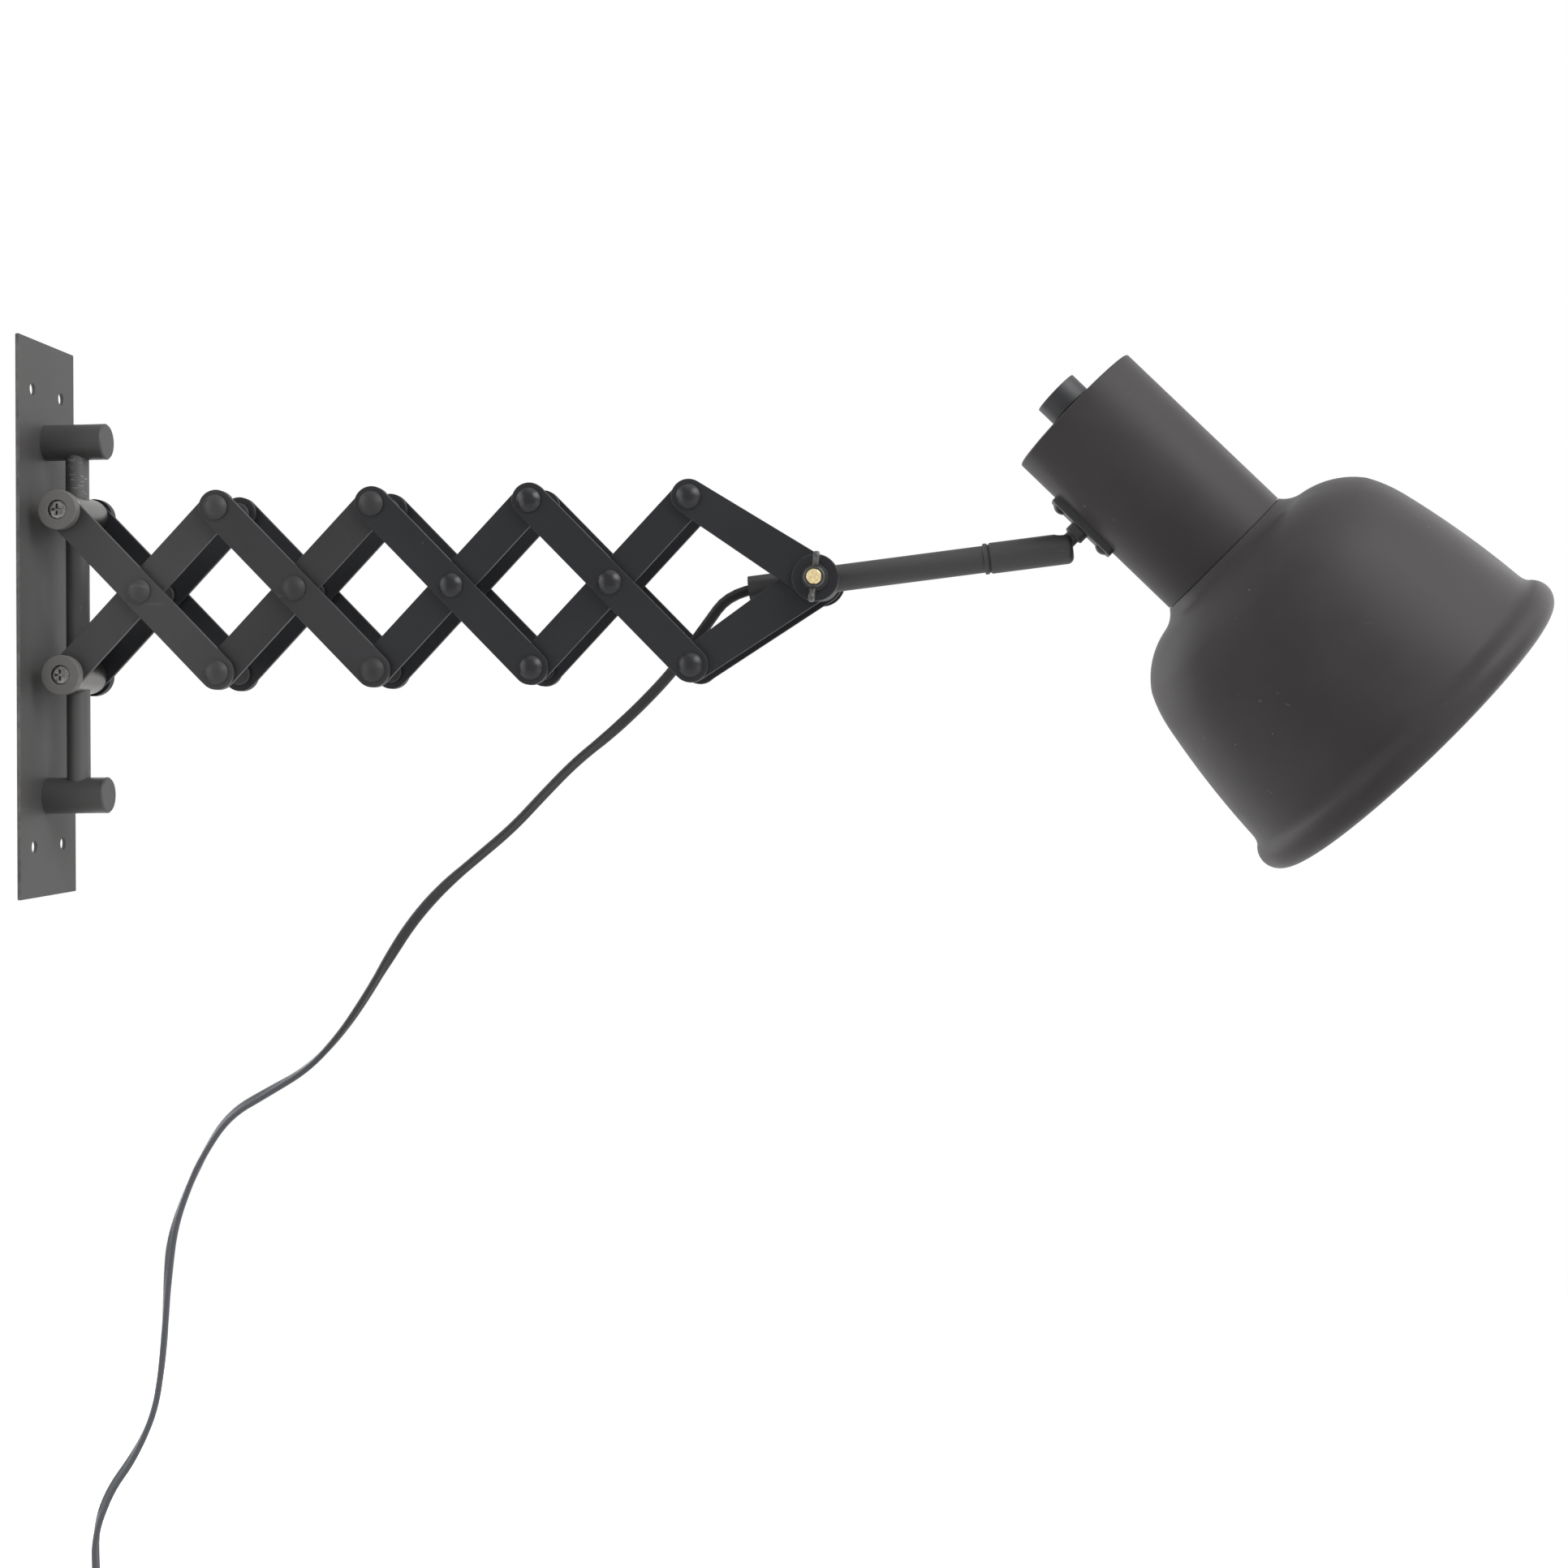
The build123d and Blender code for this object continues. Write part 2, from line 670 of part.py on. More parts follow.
# Neck: a deep cup with a flat cap, drilled for the knob, the stud and the saddle screws
knob_hole = knob_stem_diameter / 2 + running_fit
with BuildPart() as lamp_neck:
    with BuildSketch(neck_plane):
        with BuildLine():
            Polyline(
                (0, knob_hole),
                (0, neck_radius - cap_edge),
                (cap_edge, neck_radius),
                (neck_length, neck_radius),
                (neck_length, neck_inside),
                (neck_wall, neck_inside),
                (neck_wall, knob_hole),
                close=True,
            )
        make_face()
    revolve(axis=Axis(cap_centre, neck_way))
    with BuildSketch(saddle_plane):
        Circle(tail_radius + 0.5)
        with GridLocations(saddle_screw_spacing, 1, 2, 1):
            Circle(screw_radius)
    extrude(amount=neck_radius, mode=Mode.SUBTRACT)
save(lamp_neck.part, "lamp_neck")

# Lampholder on its bracket inside the neck, with the switch box behind it
holder_end = holder_start + holder_length
bore_radius = bulb_bore_diameter / 2
bracket_at = holder_start + 26.0
box_start = neck_wall + switch_box_gap + 12.0
with BuildPart() as lampholder:
    with BuildSketch(neck_plane):
        with BuildLine():
            Polyline(
                (box_start, 0),
                (box_start, switch_box_diameter / 2),
                (holder_start, switch_box_diameter / 2),
                (holder_start, holder_diameter / 2 - 2),
                (holder_start + 2, holder_diameter / 2),
                (bracket_at, holder_diameter / 2),
                (bracket_at, neck_inside),
                (bracket_at + bracket_thickness, neck_inside),
                (bracket_at + bracket_thickness, holder_diameter / 2),
                (holder_end, holder_diameter / 2),
                (holder_end, bore_radius),
                (holder_end - bulb_bore_depth, bore_radius),
                (holder_end - bulb_bore_depth, 0),
                close=True,
            )
        make_face()
    revolve(axis=Axis(cap_centre, neck_way))
save(lampholder.part, "lampholder")

# Push knob of the switch, on a stem through the cap
with BuildPart() as switch_knob:
    knob_end = -knob_stand - knob_height
    stem_tip = box_start - switch_box_gap
    knob_radius = knob_diameter / 2
    with BuildSketch(neck_plane):
        with BuildLine():
            Polyline(
                (stem_tip, 0),
                (stem_tip, knob_stem_diameter / 2),
                (-knob_stand, knob_stem_diameter / 2),
                (-knob_stand, knob_radius),
                (knob_end + knob_edge, knob_radius),
                (knob_end, knob_radius - knob_edge),
                (knob_end, 0),
                close=True,
            )
        make_face()
    revolve(axis=Axis(cap_centre, neck_way))
save(switch_knob.part, "switch_knob")

# Bell shade: collar in the neck, hollow flare, round shoulder, slightly swelling cone and a rolled lip
with BuildPart() as shade:
    start = neck_length
    collar = neck_inside - seat_clearance
    inner_top = shade_seam + shade_wall
    lip_start = cone_depth
    lip_swell = (cone_depth + lip_depth) / 2 - 0.25
    lip_edge = lip_depth - 1.55
    lip_edge_radius = cone_diameter / 2 - 0.5
    inner_lip = cone_diameter / 2 - 2 * shade_wall
    flare_start = Vector(start + shade_seam, neck_radius + 0.2)
    flare_end = Vector(start + flare_depth, flare_diameter / 2)
    flare_run = flare_end - flare_start
    flare_in = Vector(flare_run.Y, -flare_run.X)
    flare_middle = (flare_start + flare_end) * 0.5 + flare_in * flare_bow
    flare_inside = flare_middle + flare_in.normalized() * shade_wall
    flare_inner_end = flare_end + Vector(0.95, -0.3) * shade_wall
    with BuildSketch(neck_plane):
        with BuildLine():
            Polyline(
                (start + inner_top, collar - shade_wall),
                (start - shade_collar, collar - shade_wall),
                (start - shade_collar, collar),
                (start + shade_seam, collar),
                flare_start,
            )
            ThreePointArc(flare_start, flare_middle, flare_end)
            ThreePointArc(
                flare_end,
                (start + shoulder_swell_depth, shoulder_swell_diameter / 2),
                (start + shoulder_depth, shoulder_diameter / 2),
            )
            ThreePointArc(
                (start + shoulder_depth, shoulder_diameter / 2),
                (start + (shoulder_depth + cone_depth) / 2, cone_swell_diameter / 2),
                (start + cone_depth, cone_diameter / 2),
            )
            ThreePointArc(
                (start + lip_start, cone_diameter / 2),
                (start + lip_swell, lip_diameter / 2),
                (start + lip_edge, lip_edge_radius),
            )
            ThreePointArc(
                (start + lip_edge, lip_edge_radius),
                (start + lip_depth, (lip_edge_radius + inner_lip) / 2),
                (start + lip_edge, inner_lip),
            )
            Line((start + lip_edge, inner_lip), (start + cone_depth, cone_diameter / 2 - shade_wall))
            ThreePointArc(
                (start + cone_depth, cone_diameter / 2 - shade_wall),
                (start + (shoulder_depth + cone_depth) / 2, cone_swell_diameter / 2 - shade_wall),
                (start + shoulder_depth + 0.5, shoulder_diameter / 2 - shade_wall),
            )
            ThreePointArc(
                (start + shoulder_depth + 0.5, shoulder_diameter / 2 - shade_wall),
                (start + shoulder_swell_depth + 0.87 * shade_wall, shoulder_swell_diameter / 2 - 0.5 * shade_wall),
                flare_inner_end,
            )
            ThreePointArc(flare_inner_end, flare_inside, (start + inner_top, neck_radius))
            Line((start + inner_top, neck_radius), (start + inner_top, collar - shade_wall))
        make_face()
    revolve(axis=Axis(cap_centre, neck_way))
save(shade.part, "shade")

# Cord route in the mid plane, from inside the tube's rear end to the coil below
cord_radius = cord_diameter / 2
coil_left = 20.3
coil_height = -452.0
exit_points = [hub - arm_way * (tube_behind - bush_length), hub - arm_way * (tube_behind + 7.5)]
hanging_points = [
    (277.6, -10.4), (265.8, -25.3), (253.0, -38.6), (239.3, -51.0), (224.4, -62.5), (211.2, -75.6), (198.2, -89.1),
    (183.6, -101.0), (169.1, -113.1), (156.3, -127.0), (145.9, -142.7), (136.1, -158.7), (125.2, -174.0),
    (112.2, -187.7), (95.4, -197.0), (78.9, -206.2), (68.2, -221.8), (60.7, -238.9), (54.6, -256.4),
    (52.0, -274.9), (51.0, -293.5), (49.2, -312.1), (45.9, -330.2), (37.4, -347.2), (26.4, -361.8),
    (20.1, -379.2), (coil_left, -398.0), (coil_left, coil_height + coil_lead),
]
route = exit_points + [Vector(x, 0, z) for x, z in hanging_points]


def bend_radii(points):
    """Radius of each corner, as large as its two runs allow."""
    radii = []
    for before, here, after in zip(points, points[1:], points[2:]):
        turn = math.radians((here - before).get_angle(after - here))
        shorter = min((here - before).length, (after - here).length)
        radii.append(0.45 * shorter / math.tan(turn / 2))
    return radii


radii = bend_radii(route)
print("cord radii", [round(r, 1) for r in radii])
with BuildLine() as cord_line:
    FilletPolyline(*route, radius=radii)
run_length = cord_line.wire().length
cord_start_plane = Plane(origin=route[0], x_dir=(0, 1, 0), z_dir=route[1] - route[0])

# First stretch of the cord, which tilts with the arm, up to a round joint about the pivot
with BuildPart() as cord_start:
    with BuildSketch(cord_start_plane):
        Circle(cord_radius)
    sweep(path=cord_line.wire())
    print("cord volume share", round(cord_start.part.volume / (math.pi * cord_radius ** 2 * run_length), 4))
    with BuildSketch(Plane.XZ.offset(-cord_diameter)):
        with Locations(pivot):
            Circle(cord_join_radius)
    extrude(amount=2 * cord_diameter, mode=Mode.INTERSECT)
save(cord_start.part, "cord_start")

# Hanging stretch of the cord
with BuildPart() as cord_run:
    with BuildSketch(cord_start_plane):
        Circle(cord_radius)
    sweep(path=cord_line.wire())
    with BuildSketch(Plane.XZ.offset(-cord_diameter)):
        with Locations(pivot):
            Circle(cord_join_radius + cord_join_gap)
    extrude(amount=2 * cord_diameter, mode=Mode.SUBTRACT)
save(cord_run.part, "cord_run")

# Tied coil of the unseen length: a close helix about Y, its ends straight down
coil_radius = coil_diameter / 2
coil_x = coil_left + coil_radius


def coil_point(turns):
    """Point and direction of the helix after a number of turns."""
    angle = math.pi + 2 * math.pi * turns
    slope = coil_pitch / (2 * math.pi * coil_radius)
    place = Vector(coil_x + coil_radius * math.cos(angle), coil_pitch * turns, coil_height + coil_radius * math.sin(angle))
    way = Vector(-math.sin(angle), slope, math.cos(angle)).normalized()
    return place, way


def add_biarc(start, start_way, end, end_way):
    """Two tangent arcs from one point and direction to another."""
    chord = end - start
    ways = start_way + end_way
    bend = 2 * (1 - start_way.dot(end_way))
    reach = (-chord.dot(ways) + math.sqrt(chord.dot(ways) ** 2 + bend * chord.dot(chord))) / bend
    near = start + start_way * reach
    far = end - end_way * reach
    join = (near + far) * 0.5
    TangentArc(start, join, tangent=start_way)
    TangentArc(join, end, tangent=far - near)


down = Vector(0, 0, -1)
quarters = 4 * coil_turns
knots = [coil_point(k / 4) for k in range(quarters + 1)]
knots[0] = (knots[0][0], down)
knots[-1] = (knots[-1][0], down)
with BuildLine() as coil_line:
    Line(knots[0][0] - down * coil_lead, knots[0][0])
    for (start, start_way), (end, end_way) in zip(knots, knots[1:]):
        add_biarc(start, start_way, end, end_way)
    Line(knots[-1][0], knots[-1][0] + down * coil_tail)
coil_length = coil_line.wire().length
turn_share = 2 * math.pi * coil_radius / coil_length
samples = [coil_line.wire().position_at(k / (48 * coil_turns)) for k in range(48 * coil_turns + 1)]
least = min(
    (samples[i] - samples[j]).length
    for i in range(len(samples))
    for j in range(i + int(0.5 * turn_share * len(samples)), len(samples))
)
print("coil least gap", round(least - cord_diameter, 2))
with BuildPart() as cord_coil:
    with BuildSketch(Plane(origin=knots[0][0] - down * coil_lead, x_dir=(1, 0, 0), z_dir=down)):
        Circle(cord_radius)
    sweep(path=coil_line.wire())
    print("coil volume share", round(cord_coil.part.volume / (math.pi * cord_radius ** 2 * coil_length), 4))
save(cord_coil.part, "cord_coil")
print("cord length", round(run_length + coil_length - bush_length, 1))

# Tie round the coil's right side
with BuildPart() as coil_tie:
    first_turn = coil_pitch * 0.5
    room = 0.5
    tie_y = first_turn + coil_pitch * (coil_turns - 1) / 2
    wide = coil_pitch * (coil_turns - 1) + cord_diameter + 2 * room
    deep = cord_diameter + 3 * room
    with BuildSketch(Plane.XY.offset(coil_height - tie_width / 2)):
        with Locations((coil_x + coil_radius, tie_y)):
            RectangleRounded(deep + 2 * tie_thickness, wide + 2 * tie_thickness, cord_radius + tie_thickness)
            RectangleRounded(deep, wide, cord_radius, mode=Mode.SUBTRACT)
    extrude(amount=tie_width)
save(coil_tie.part, "coil_tie")

# Flat two-pin plug hanging from the coil's tail
plug_top = coil_height - coil_tail
plug_y = coil_pitch * coil_turns
plug_face = plug_top - plug_neck - plug_length
plug_corner = 0.35 * plug_thickness
waist_width = 0.6 * plug_width
waist_thickness = 0.8 * plug_thickness
relief = cord_diameter + 2.6


def plug_plane(height):
    """Level plane across the plug, facing down."""
    return Plane(origin=(coil_left, plug_y, height), x_dir=(1, 0, 0), z_dir=(0, 0, -1))


with BuildPart() as plug:
    with BuildSketch(plug_plane(plug_top)):
        RectangleRounded(relief, relief, 0.48 * relief)
    with BuildSketch(plug_plane(plug_top - plug_neck)):
        RectangleRounded(waist_width, waist_thickness, plug_corner)
    loft()
    with BuildSketch(plug_plane(plug_top - plug_neck)):
        RectangleRounded(waist_width, waist_thickness, plug_corner)
    with BuildSketch(plug_plane(plug_face)):
        RectangleRounded(plug_width, plug_thickness, plug_corner)
    loft()
    with BuildSketch(plug_plane(plug_face)):
        with GridLocations(pin_spacing, 1, 2, 1):
            Circle(pin_diameter / 2)
    extrude(amount=pin_length)
save(plug.part, "plug")
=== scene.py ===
import bpy
import bmesh
import json
import math
from mathutils import Matrix, Vector


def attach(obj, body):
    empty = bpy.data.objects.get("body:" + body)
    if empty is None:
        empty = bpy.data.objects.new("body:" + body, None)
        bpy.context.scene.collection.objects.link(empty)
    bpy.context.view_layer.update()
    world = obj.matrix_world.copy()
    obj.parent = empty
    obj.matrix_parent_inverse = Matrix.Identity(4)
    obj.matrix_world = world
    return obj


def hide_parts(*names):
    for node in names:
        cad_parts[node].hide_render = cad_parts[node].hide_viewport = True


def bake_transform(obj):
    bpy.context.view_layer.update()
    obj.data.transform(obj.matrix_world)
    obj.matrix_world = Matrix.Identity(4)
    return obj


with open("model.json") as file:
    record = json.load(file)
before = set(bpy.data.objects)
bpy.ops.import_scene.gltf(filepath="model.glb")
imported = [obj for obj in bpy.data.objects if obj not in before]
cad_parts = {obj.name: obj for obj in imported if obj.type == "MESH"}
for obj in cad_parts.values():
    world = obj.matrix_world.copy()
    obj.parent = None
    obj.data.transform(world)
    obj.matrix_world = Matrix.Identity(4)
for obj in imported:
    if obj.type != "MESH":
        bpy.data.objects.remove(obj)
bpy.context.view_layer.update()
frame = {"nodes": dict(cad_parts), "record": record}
scene = bpy.context.scene
mm = 0.001
quarterTurn, fullTurn = math.pi / 2, 2 * math.pi
record = frame["record"]
bodyOf = {node: body for body, nodes in record["behaviour"]["bodies"].items() for node in nodes}
slotOf = {row["node"]: row["material_slot"] for row in record["subparts"]}
acrossY = Vector((0, 1, 0))
print("frame loaded:", len(frame["nodes"]), "nodes")


def addObject(name, data):
    thing = bpy.data.objects.new(name, data)
    scene.collection.objects.link(thing)
    return thing


# camera, as far and as tilted as the lamp's pivots show
cameraView = {
    "target": (0.3190, 0.0, -0.0302),
    "distance": 0.900,
    "yaw": 0.0835,
    "pitch": 0.0259,
    "roll": 0.0135,
    "focalPixels": 2728.54,
    "axisPixel": (991.3, 837.2),
    "imagePixels": 1932,
    "sensor": 36.0,
    "clip": (0.05, 20.0),
}


def makeCamera(spec):
    yaw, pitch, roll = spec["yaw"], spec["pitch"], spec["roll"]
    level = Vector((math.cos(yaw), math.sin(yaw), 0))
    ahead = Vector((-math.sin(yaw), math.cos(yaw), 0))
    look = ahead * math.cos(pitch) + Vector((0, 0, math.sin(pitch)))
    rise = level.cross(look)
    right = level * math.cos(roll) - rise * math.sin(roll)
    up = level * math.sin(roll) + rise * math.cos(roll)
    data = bpy.data.cameras.new("photoCamera")
    data.sensor_width = spec["sensor"]
    data.lens = spec["sensor"] * spec["focalPixels"] / spec["imagePixels"]
    data.shift_x = 0.5 - spec["axisPixel"][0] / spec["imagePixels"]
    data.shift_y = spec["axisPixel"][1] / spec["imagePixels"] - 0.5
    data.clip_start, data.clip_end = spec["clip"]
    camera = addObject("photoCamera", data)
    spot = Vector(spec["target"]) - look * spec["distance"]
    turn = Matrix((right, up, -look)).transposed().to_4x4()
    camera.matrix_world = Matrix.Translation(spot) @ turn
    scene.camera = camera


makeCamera(cameraView)
print("camera set")


# shader nodes, and the node groups shared by the finishes
def addNode(tree, kind, settings=None, links=None):
    node = tree.nodes.new(kind)
    for key, value in (settings or {}).items():
        if hasattr(node, key):
            setattr(node, key, value)
        else:
            node.inputs[key].default_value = value
    for key, source in (links or {}).items():
        tree.links.new(source, node.inputs[key])
    return node


def mathNode(tree, operation, first, second, clamp=False):
    node = addNode(tree, "ShaderNodeMath", {"operation": operation, "use_clamp": clamp})
    for index, value in enumerate((first, second)):
        if isinstance(value, (int, float)):
            node.inputs[index].default_value = value
        else:
            tree.links.new(value, node.inputs[index])
    return node.outputs[0]


def addShares(tree, first, firstShare, second, secondShare, clamp=False):
    shares = [mathNode(tree, "MULTIPLY", *pair) for pair in ((first, firstShare), (second, secondShare))]
    return mathNode(tree, "ADD", *shares, clamp)


def stretchNode(tree, value, low, high, toLow=0.0, toHigh=1.0):
    settings = {"interpolation_type": "SMOOTHSTEP", "From Min": low, "From Max": high, "To Min": toLow, "To Max": toHigh}
    return addNode(tree, "ShaderNodeMapRange", settings, {"Value": value}).outputs["Result"]


def noiseNode(tree, place, scale, detail, roughness=0.5):
    settings = {"Scale": scale, "Detail": detail, "Roughness": roughness}
    return addNode(tree, "ShaderNodeTexNoise", settings, {"Vector": place}).outputs["Fac"]


def heightOf(tree, place):
    return addNode(tree, "ShaderNodeSeparateXYZ", {}, {0: place}).outputs["Z"]


def newGroup(name, inputs, outputs):  # every group reads a place and puts out plain values
    tree = bpy.data.node_groups.new(name, "ShaderNodeTree")
    for label, value in {"Place": (0, 0, 0), **inputs}.items():
        kind = "NodeSocketVector" if isinstance(value, tuple) else "NodeSocketFloat"
        tree.interface.new_socket(label, in_out="INPUT", socket_type=kind).default_value = value
    for label in outputs:
        tree.interface.new_socket(label, in_out="OUTPUT", socket_type="NodeSocketFloat")
    return tree, tree.nodes.new("NodeGroupInput").outputs, tree.nodes.new("NodeGroupOutput").inputs


# noises are given by scale, detail and roughness; what is shown of one lies between two levels
grainSpec = {"fine": (1500.0, 2.0, 0.6), "fineShare": 0.65, "wide": (380.0, 1.0), "wideShare": 0.35,
             "slow": (22.0, 3.0, 0.55), "tone": (0.3, 0.7)}


def makeGrainGroup(spec):  # orange-peel of a sprayed coat, and slow changes of tone
    tree, given, out = newGroup("coatGrain", {"Size": 1.0}, ["Height", "Tone"])
    links = {0: given["Place"], "Scale": given["Size"]}
    sized = addNode(tree, "ShaderNodeVectorMath", {"operation": "SCALE"}, links).outputs[0]
    fine, wide = noiseNode(tree, sized, *spec["fine"]), noiseNode(tree, sized, *spec["wide"])
    slow = noiseNode(tree, given["Place"], *spec["slow"])
    tree.links.new(addShares(tree, fine, spec["fineShare"], wide, spec["wideShare"]), out["Height"])
    tree.links.new(stretchNode(tree, slow, *spec["tone"]), out["Tone"])
    return tree


wearSpec = {"rough": (260.0, 4.0, 0.65), "roughShare": 0.5, "patch": (35.0, 2.0), "patchShare": 0.5, "shown": (0.36, 0.62)}


def makeWearGroup(spec):  # thin coat on rounded edges, broken up by noise
    tree, given, out = newGroup("edgeWear", {"Amount": 0.5}, ["Mask"])
    edge = addNode(tree, "ShaderNodeAttribute", {"attribute_name": "edgeMark"}).outputs["Fac"]
    rough, patch = (noiseNode(tree, given["Place"], *spec[key]) for key in ("rough", "patch"))
    broken = addShares(tree, rough, spec["roughShare"], patch, spec["patchShare"])
    mask = mathNode(tree, "MULTIPLY", edge, stretchNode(tree, broken, *spec["shown"]))
    tree.links.new(mathNode(tree, "MULTIPLY", mask, given["Amount"], True), out["Mask"])
    return tree


speckSpec = {"cells": 130.0, "dot": (0.035, 0.07), "rare": (60.0, 1.0), "rareShown": (0.58, 0.64),
             "hairTurn": (0.5, 0.7, 0.3), "hairScale": (30.0, 420.0, 420.0), "hairs": (1.0, 2.0), "hairsShown": (0.70, 0.76),
             "where": (28.0, 1.0), "whereShown": (0.54, 0.66)}


def makeSpeckGroup(spec):  # dust nibs and short fine scratches
    tree, given, out = newGroup("specksAndScratches", {"Specks": 0.5, "Scratches": 0.5}, ["Mask"])
    place = given["Place"]
    cells = addNode(tree, "ShaderNodeTexVoronoi", {"Scale": spec["cells"]}, {"Vector": place}).outputs["Distance"]
    rare = noiseNode(tree, place, *spec["rare"])
    dot = mathNode(tree, "MULTIPLY", stretchNode(tree, cells, *spec["dot"], 1.0, 0.0),
                   stretchNode(tree, rare, *spec["rareShown"]))
    turned = {"Rotation": spec["hairTurn"], "Scale": spec["hairScale"]}
    tilted = addNode(tree, "ShaderNodeMapping", turned, {"Vector": place}).outputs[0]
    hairs, where = noiseNode(tree, tilted, *spec["hairs"]), noiseNode(tree, place, *spec["where"])
    hair = mathNode(tree, "MULTIPLY", stretchNode(tree, hairs, *spec["hairsShown"]),
                    stretchNode(tree, where, *spec["whereShown"]))
    tree.links.new(addShares(tree, dot, given["Specks"], hair, given["Scratches"], True), out["Mask"])
    return tree


turnedSpec = {"rings": (40, 2600, 40), "lines": (1.0, 3.0, 0.6)}


def makeTurnedGroup(spec):  # fine rings left by the lathe, along one axis
    tree, given, out = newGroup("turnedLines", {"Rings": spec["rings"]}, ["Lines"])
    links = {0: given["Place"], 1: given["Rings"]}
    place = addNode(tree, "ShaderNodeVectorMath", {"operation": "MULTIPLY"}, links).outputs[0]
    tree.links.new(noiseNode(tree, place, *spec["lines"]), out["Lines"])
    return tree


scuffSpec = {"flat": (300.0, 300.0, 1400.0), "flecks": (1.0, 3.0, 0.6), "shown": (0.60, 0.68)}


def makeScuffGroup(spec):  # light flecks rubbed off between two heights
    tree, given, out = newGroup("scuffs", {"Low": 0.0, "High": 0.01}, ["Mask"])
    height = heightOf(tree, given["Place"])
    inside = mathNode(tree, "MULTIPLY", mathNode(tree, "GREATER_THAN", height, given["Low"]),
                      mathNode(tree, "LESS_THAN", height, given["High"]))
    flat = addNode(tree, "ShaderNodeMapping", {"Scale": spec["flat"]}, {"Vector": given["Place"]}).outputs[0]
    flecks = stretchNode(tree, noiseNode(tree, flat, *spec["flecks"]), *spec["shown"])
    tree.links.new(mathNode(tree, "MULTIPLY", inside, flecks), out["Mask"])
    return tree


def makeFadeGroup():  # greyer from one height down to another
    tree, given, out = newGroup("heightFade", {"Low": 0.0, "High": 0.1}, ["Mask"])
    fade = addNode(tree, "ShaderNodeMapRange", {"interpolation_type": "SMOOTHSTEP", "To Min": 1.0, "To Max": 0.0},
                   {"Value": heightOf(tree, given["Place"]), "From Min": given["Low"], "From Max": given["High"]})
    tree.links.new(fade.outputs["Result"], out["Mask"])
    return tree


grainGroup, wearGroup = makeGrainGroup(grainSpec), makeWearGroup(wearSpec)
speckGroup, turnedGroup = makeSpeckGroup(speckSpec), makeTurnedGroup(turnedSpec)
scuffGroup, fadeGroup = makeScuffGroup(scuffSpec), makeFadeGroup()


def newMaterial(name, shader):
    material = bpy.data.materials.new(name)
    material.use_nodes = True
    tree = material.node_tree
    principled = tree.nodes["Principled BSDF"]
    for key, value in shader.items():
        principled.inputs[key].default_value = value
    place = tree.nodes.new("ShaderNodeTexCoord").outputs["Object"]
    return material, tree, principled.inputs, place


def useGroup(tree, group, place, values):
    return addNode(tree, "ShaderNodeGroup", {"node_tree": group, **values}, {"Place": place}).outputs


def mixColours(tree, factor, first, second):
    node = addNode(tree, "ShaderNodeMix", {"data_type": "RGBA"}, {"Factor": factor})
    for key, value in (("A", first), ("B", second)):
        socket = [s for s in node.inputs if s.name == key and s.type == "RGBA"][0]
        if isinstance(value, tuple):
            socket.default_value = (*value, 1.0)
        else:
            tree.links.new(value, socket)
    return [s for s in node.outputs if s.type == "RGBA"][0]


def addBump(tree, shader, height, strength, distance):
    bump = addNode(tree, "ShaderNodeBump", {"Strength": strength, "Distance": distance}, {"Height": height})
    tree.links.new(bump.outputs["Normal"], shader["Normal"])


coatLook = {"rougher": (-0.04, 0.05), "wornShine": 0.12, "bumpDepth": 0.0002}


def coatFinish(name, spec):  # sprayed or moulded coats: grain, tone, worn edges, specks
    material, tree, shader, place = newMaterial(name, {"Specular IOR Level": spec["gloss"], "Metallic": 0.0})
    grain = useGroup(tree, grainGroup, place, {"Size": spec["grainSize"]})
    wear = useGroup(tree, wearGroup, place, {"Amount": spec["wear"]})["Mask"]
    specks = useGroup(tree, speckGroup, place, {"Specks": spec["specks"], "Scratches": spec["scratches"]})["Mask"]
    colour = mixColours(tree, grain["Tone"], spec["dark"], spec["light"])
    if "fade" in spec:
        low, high, grey = spec["fade"]
        colour = mixColours(tree, useGroup(tree, fadeGroup, place, {"Low": low, "High": high})["Mask"], colour, grey)
    colour = mixColours(tree, wear, colour, spec["worn"])
    colour = mixColours(tree, specks, colour, spec["mark"])
    if "scuffs" in spec:
        low, high = spec["scuffs"]
        scuffs = useGroup(tree, scuffGroup, place, {"Low": low, "High": high})["Mask"]
        colour = mixColours(tree, scuffs, colour, spec["mark"])
    tree.links.new(colour, shader["Base Color"])
    smooth, rough = (spec["roughness"] + change for change in coatLook["rougher"])
    toned = stretchNode(tree, grain["Tone"], 0.0, 1.0, smooth, rough)
    shine = mathNode(tree, "MULTIPLY", wear, coatLook["wornShine"])
    tree.links.new(mathNode(tree, "SUBTRACT", toned, shine), shader["Roughness"])
    addBump(tree, shader, grain["Height"], spec["bump"], coatLook["bumpDepth"])
    return material


metalLook = {"tint": (0.35, 0.7), "dull": (0.3, 0.7), "rougher": (-0.06, 0.08), "bumpDepth": 0.00008}


def metalFinish(name, spec):  # bare turned metal: lathe rings and dull patches
    material, tree, shader, place = newMaterial(name, {"Metallic": 1.0})
    lines = useGroup(tree, turnedGroup, place, {"Rings": spec["rings"]})["Lines"]
    grain = useGroup(tree, grainGroup, place, {"Size": 1.0})
    colour = mixColours(tree, grain["Tone"], spec["dark"], spec["light"])
    colour = mixColours(tree, stretchNode(tree, lines, *metalLook["tint"]), colour, spec["line"])
    tree.links.new(colour, shader["Base Color"])
    smooth, rough = (spec["roughness"] + change for change in metalLook["rougher"])
    tree.links.new(stretchNode(tree, lines, *metalLook["dull"], smooth, rough), shader["Roughness"])
    addBump(tree, shader, lines, spec["bump"], metalLook["bumpDepth"])
    return material


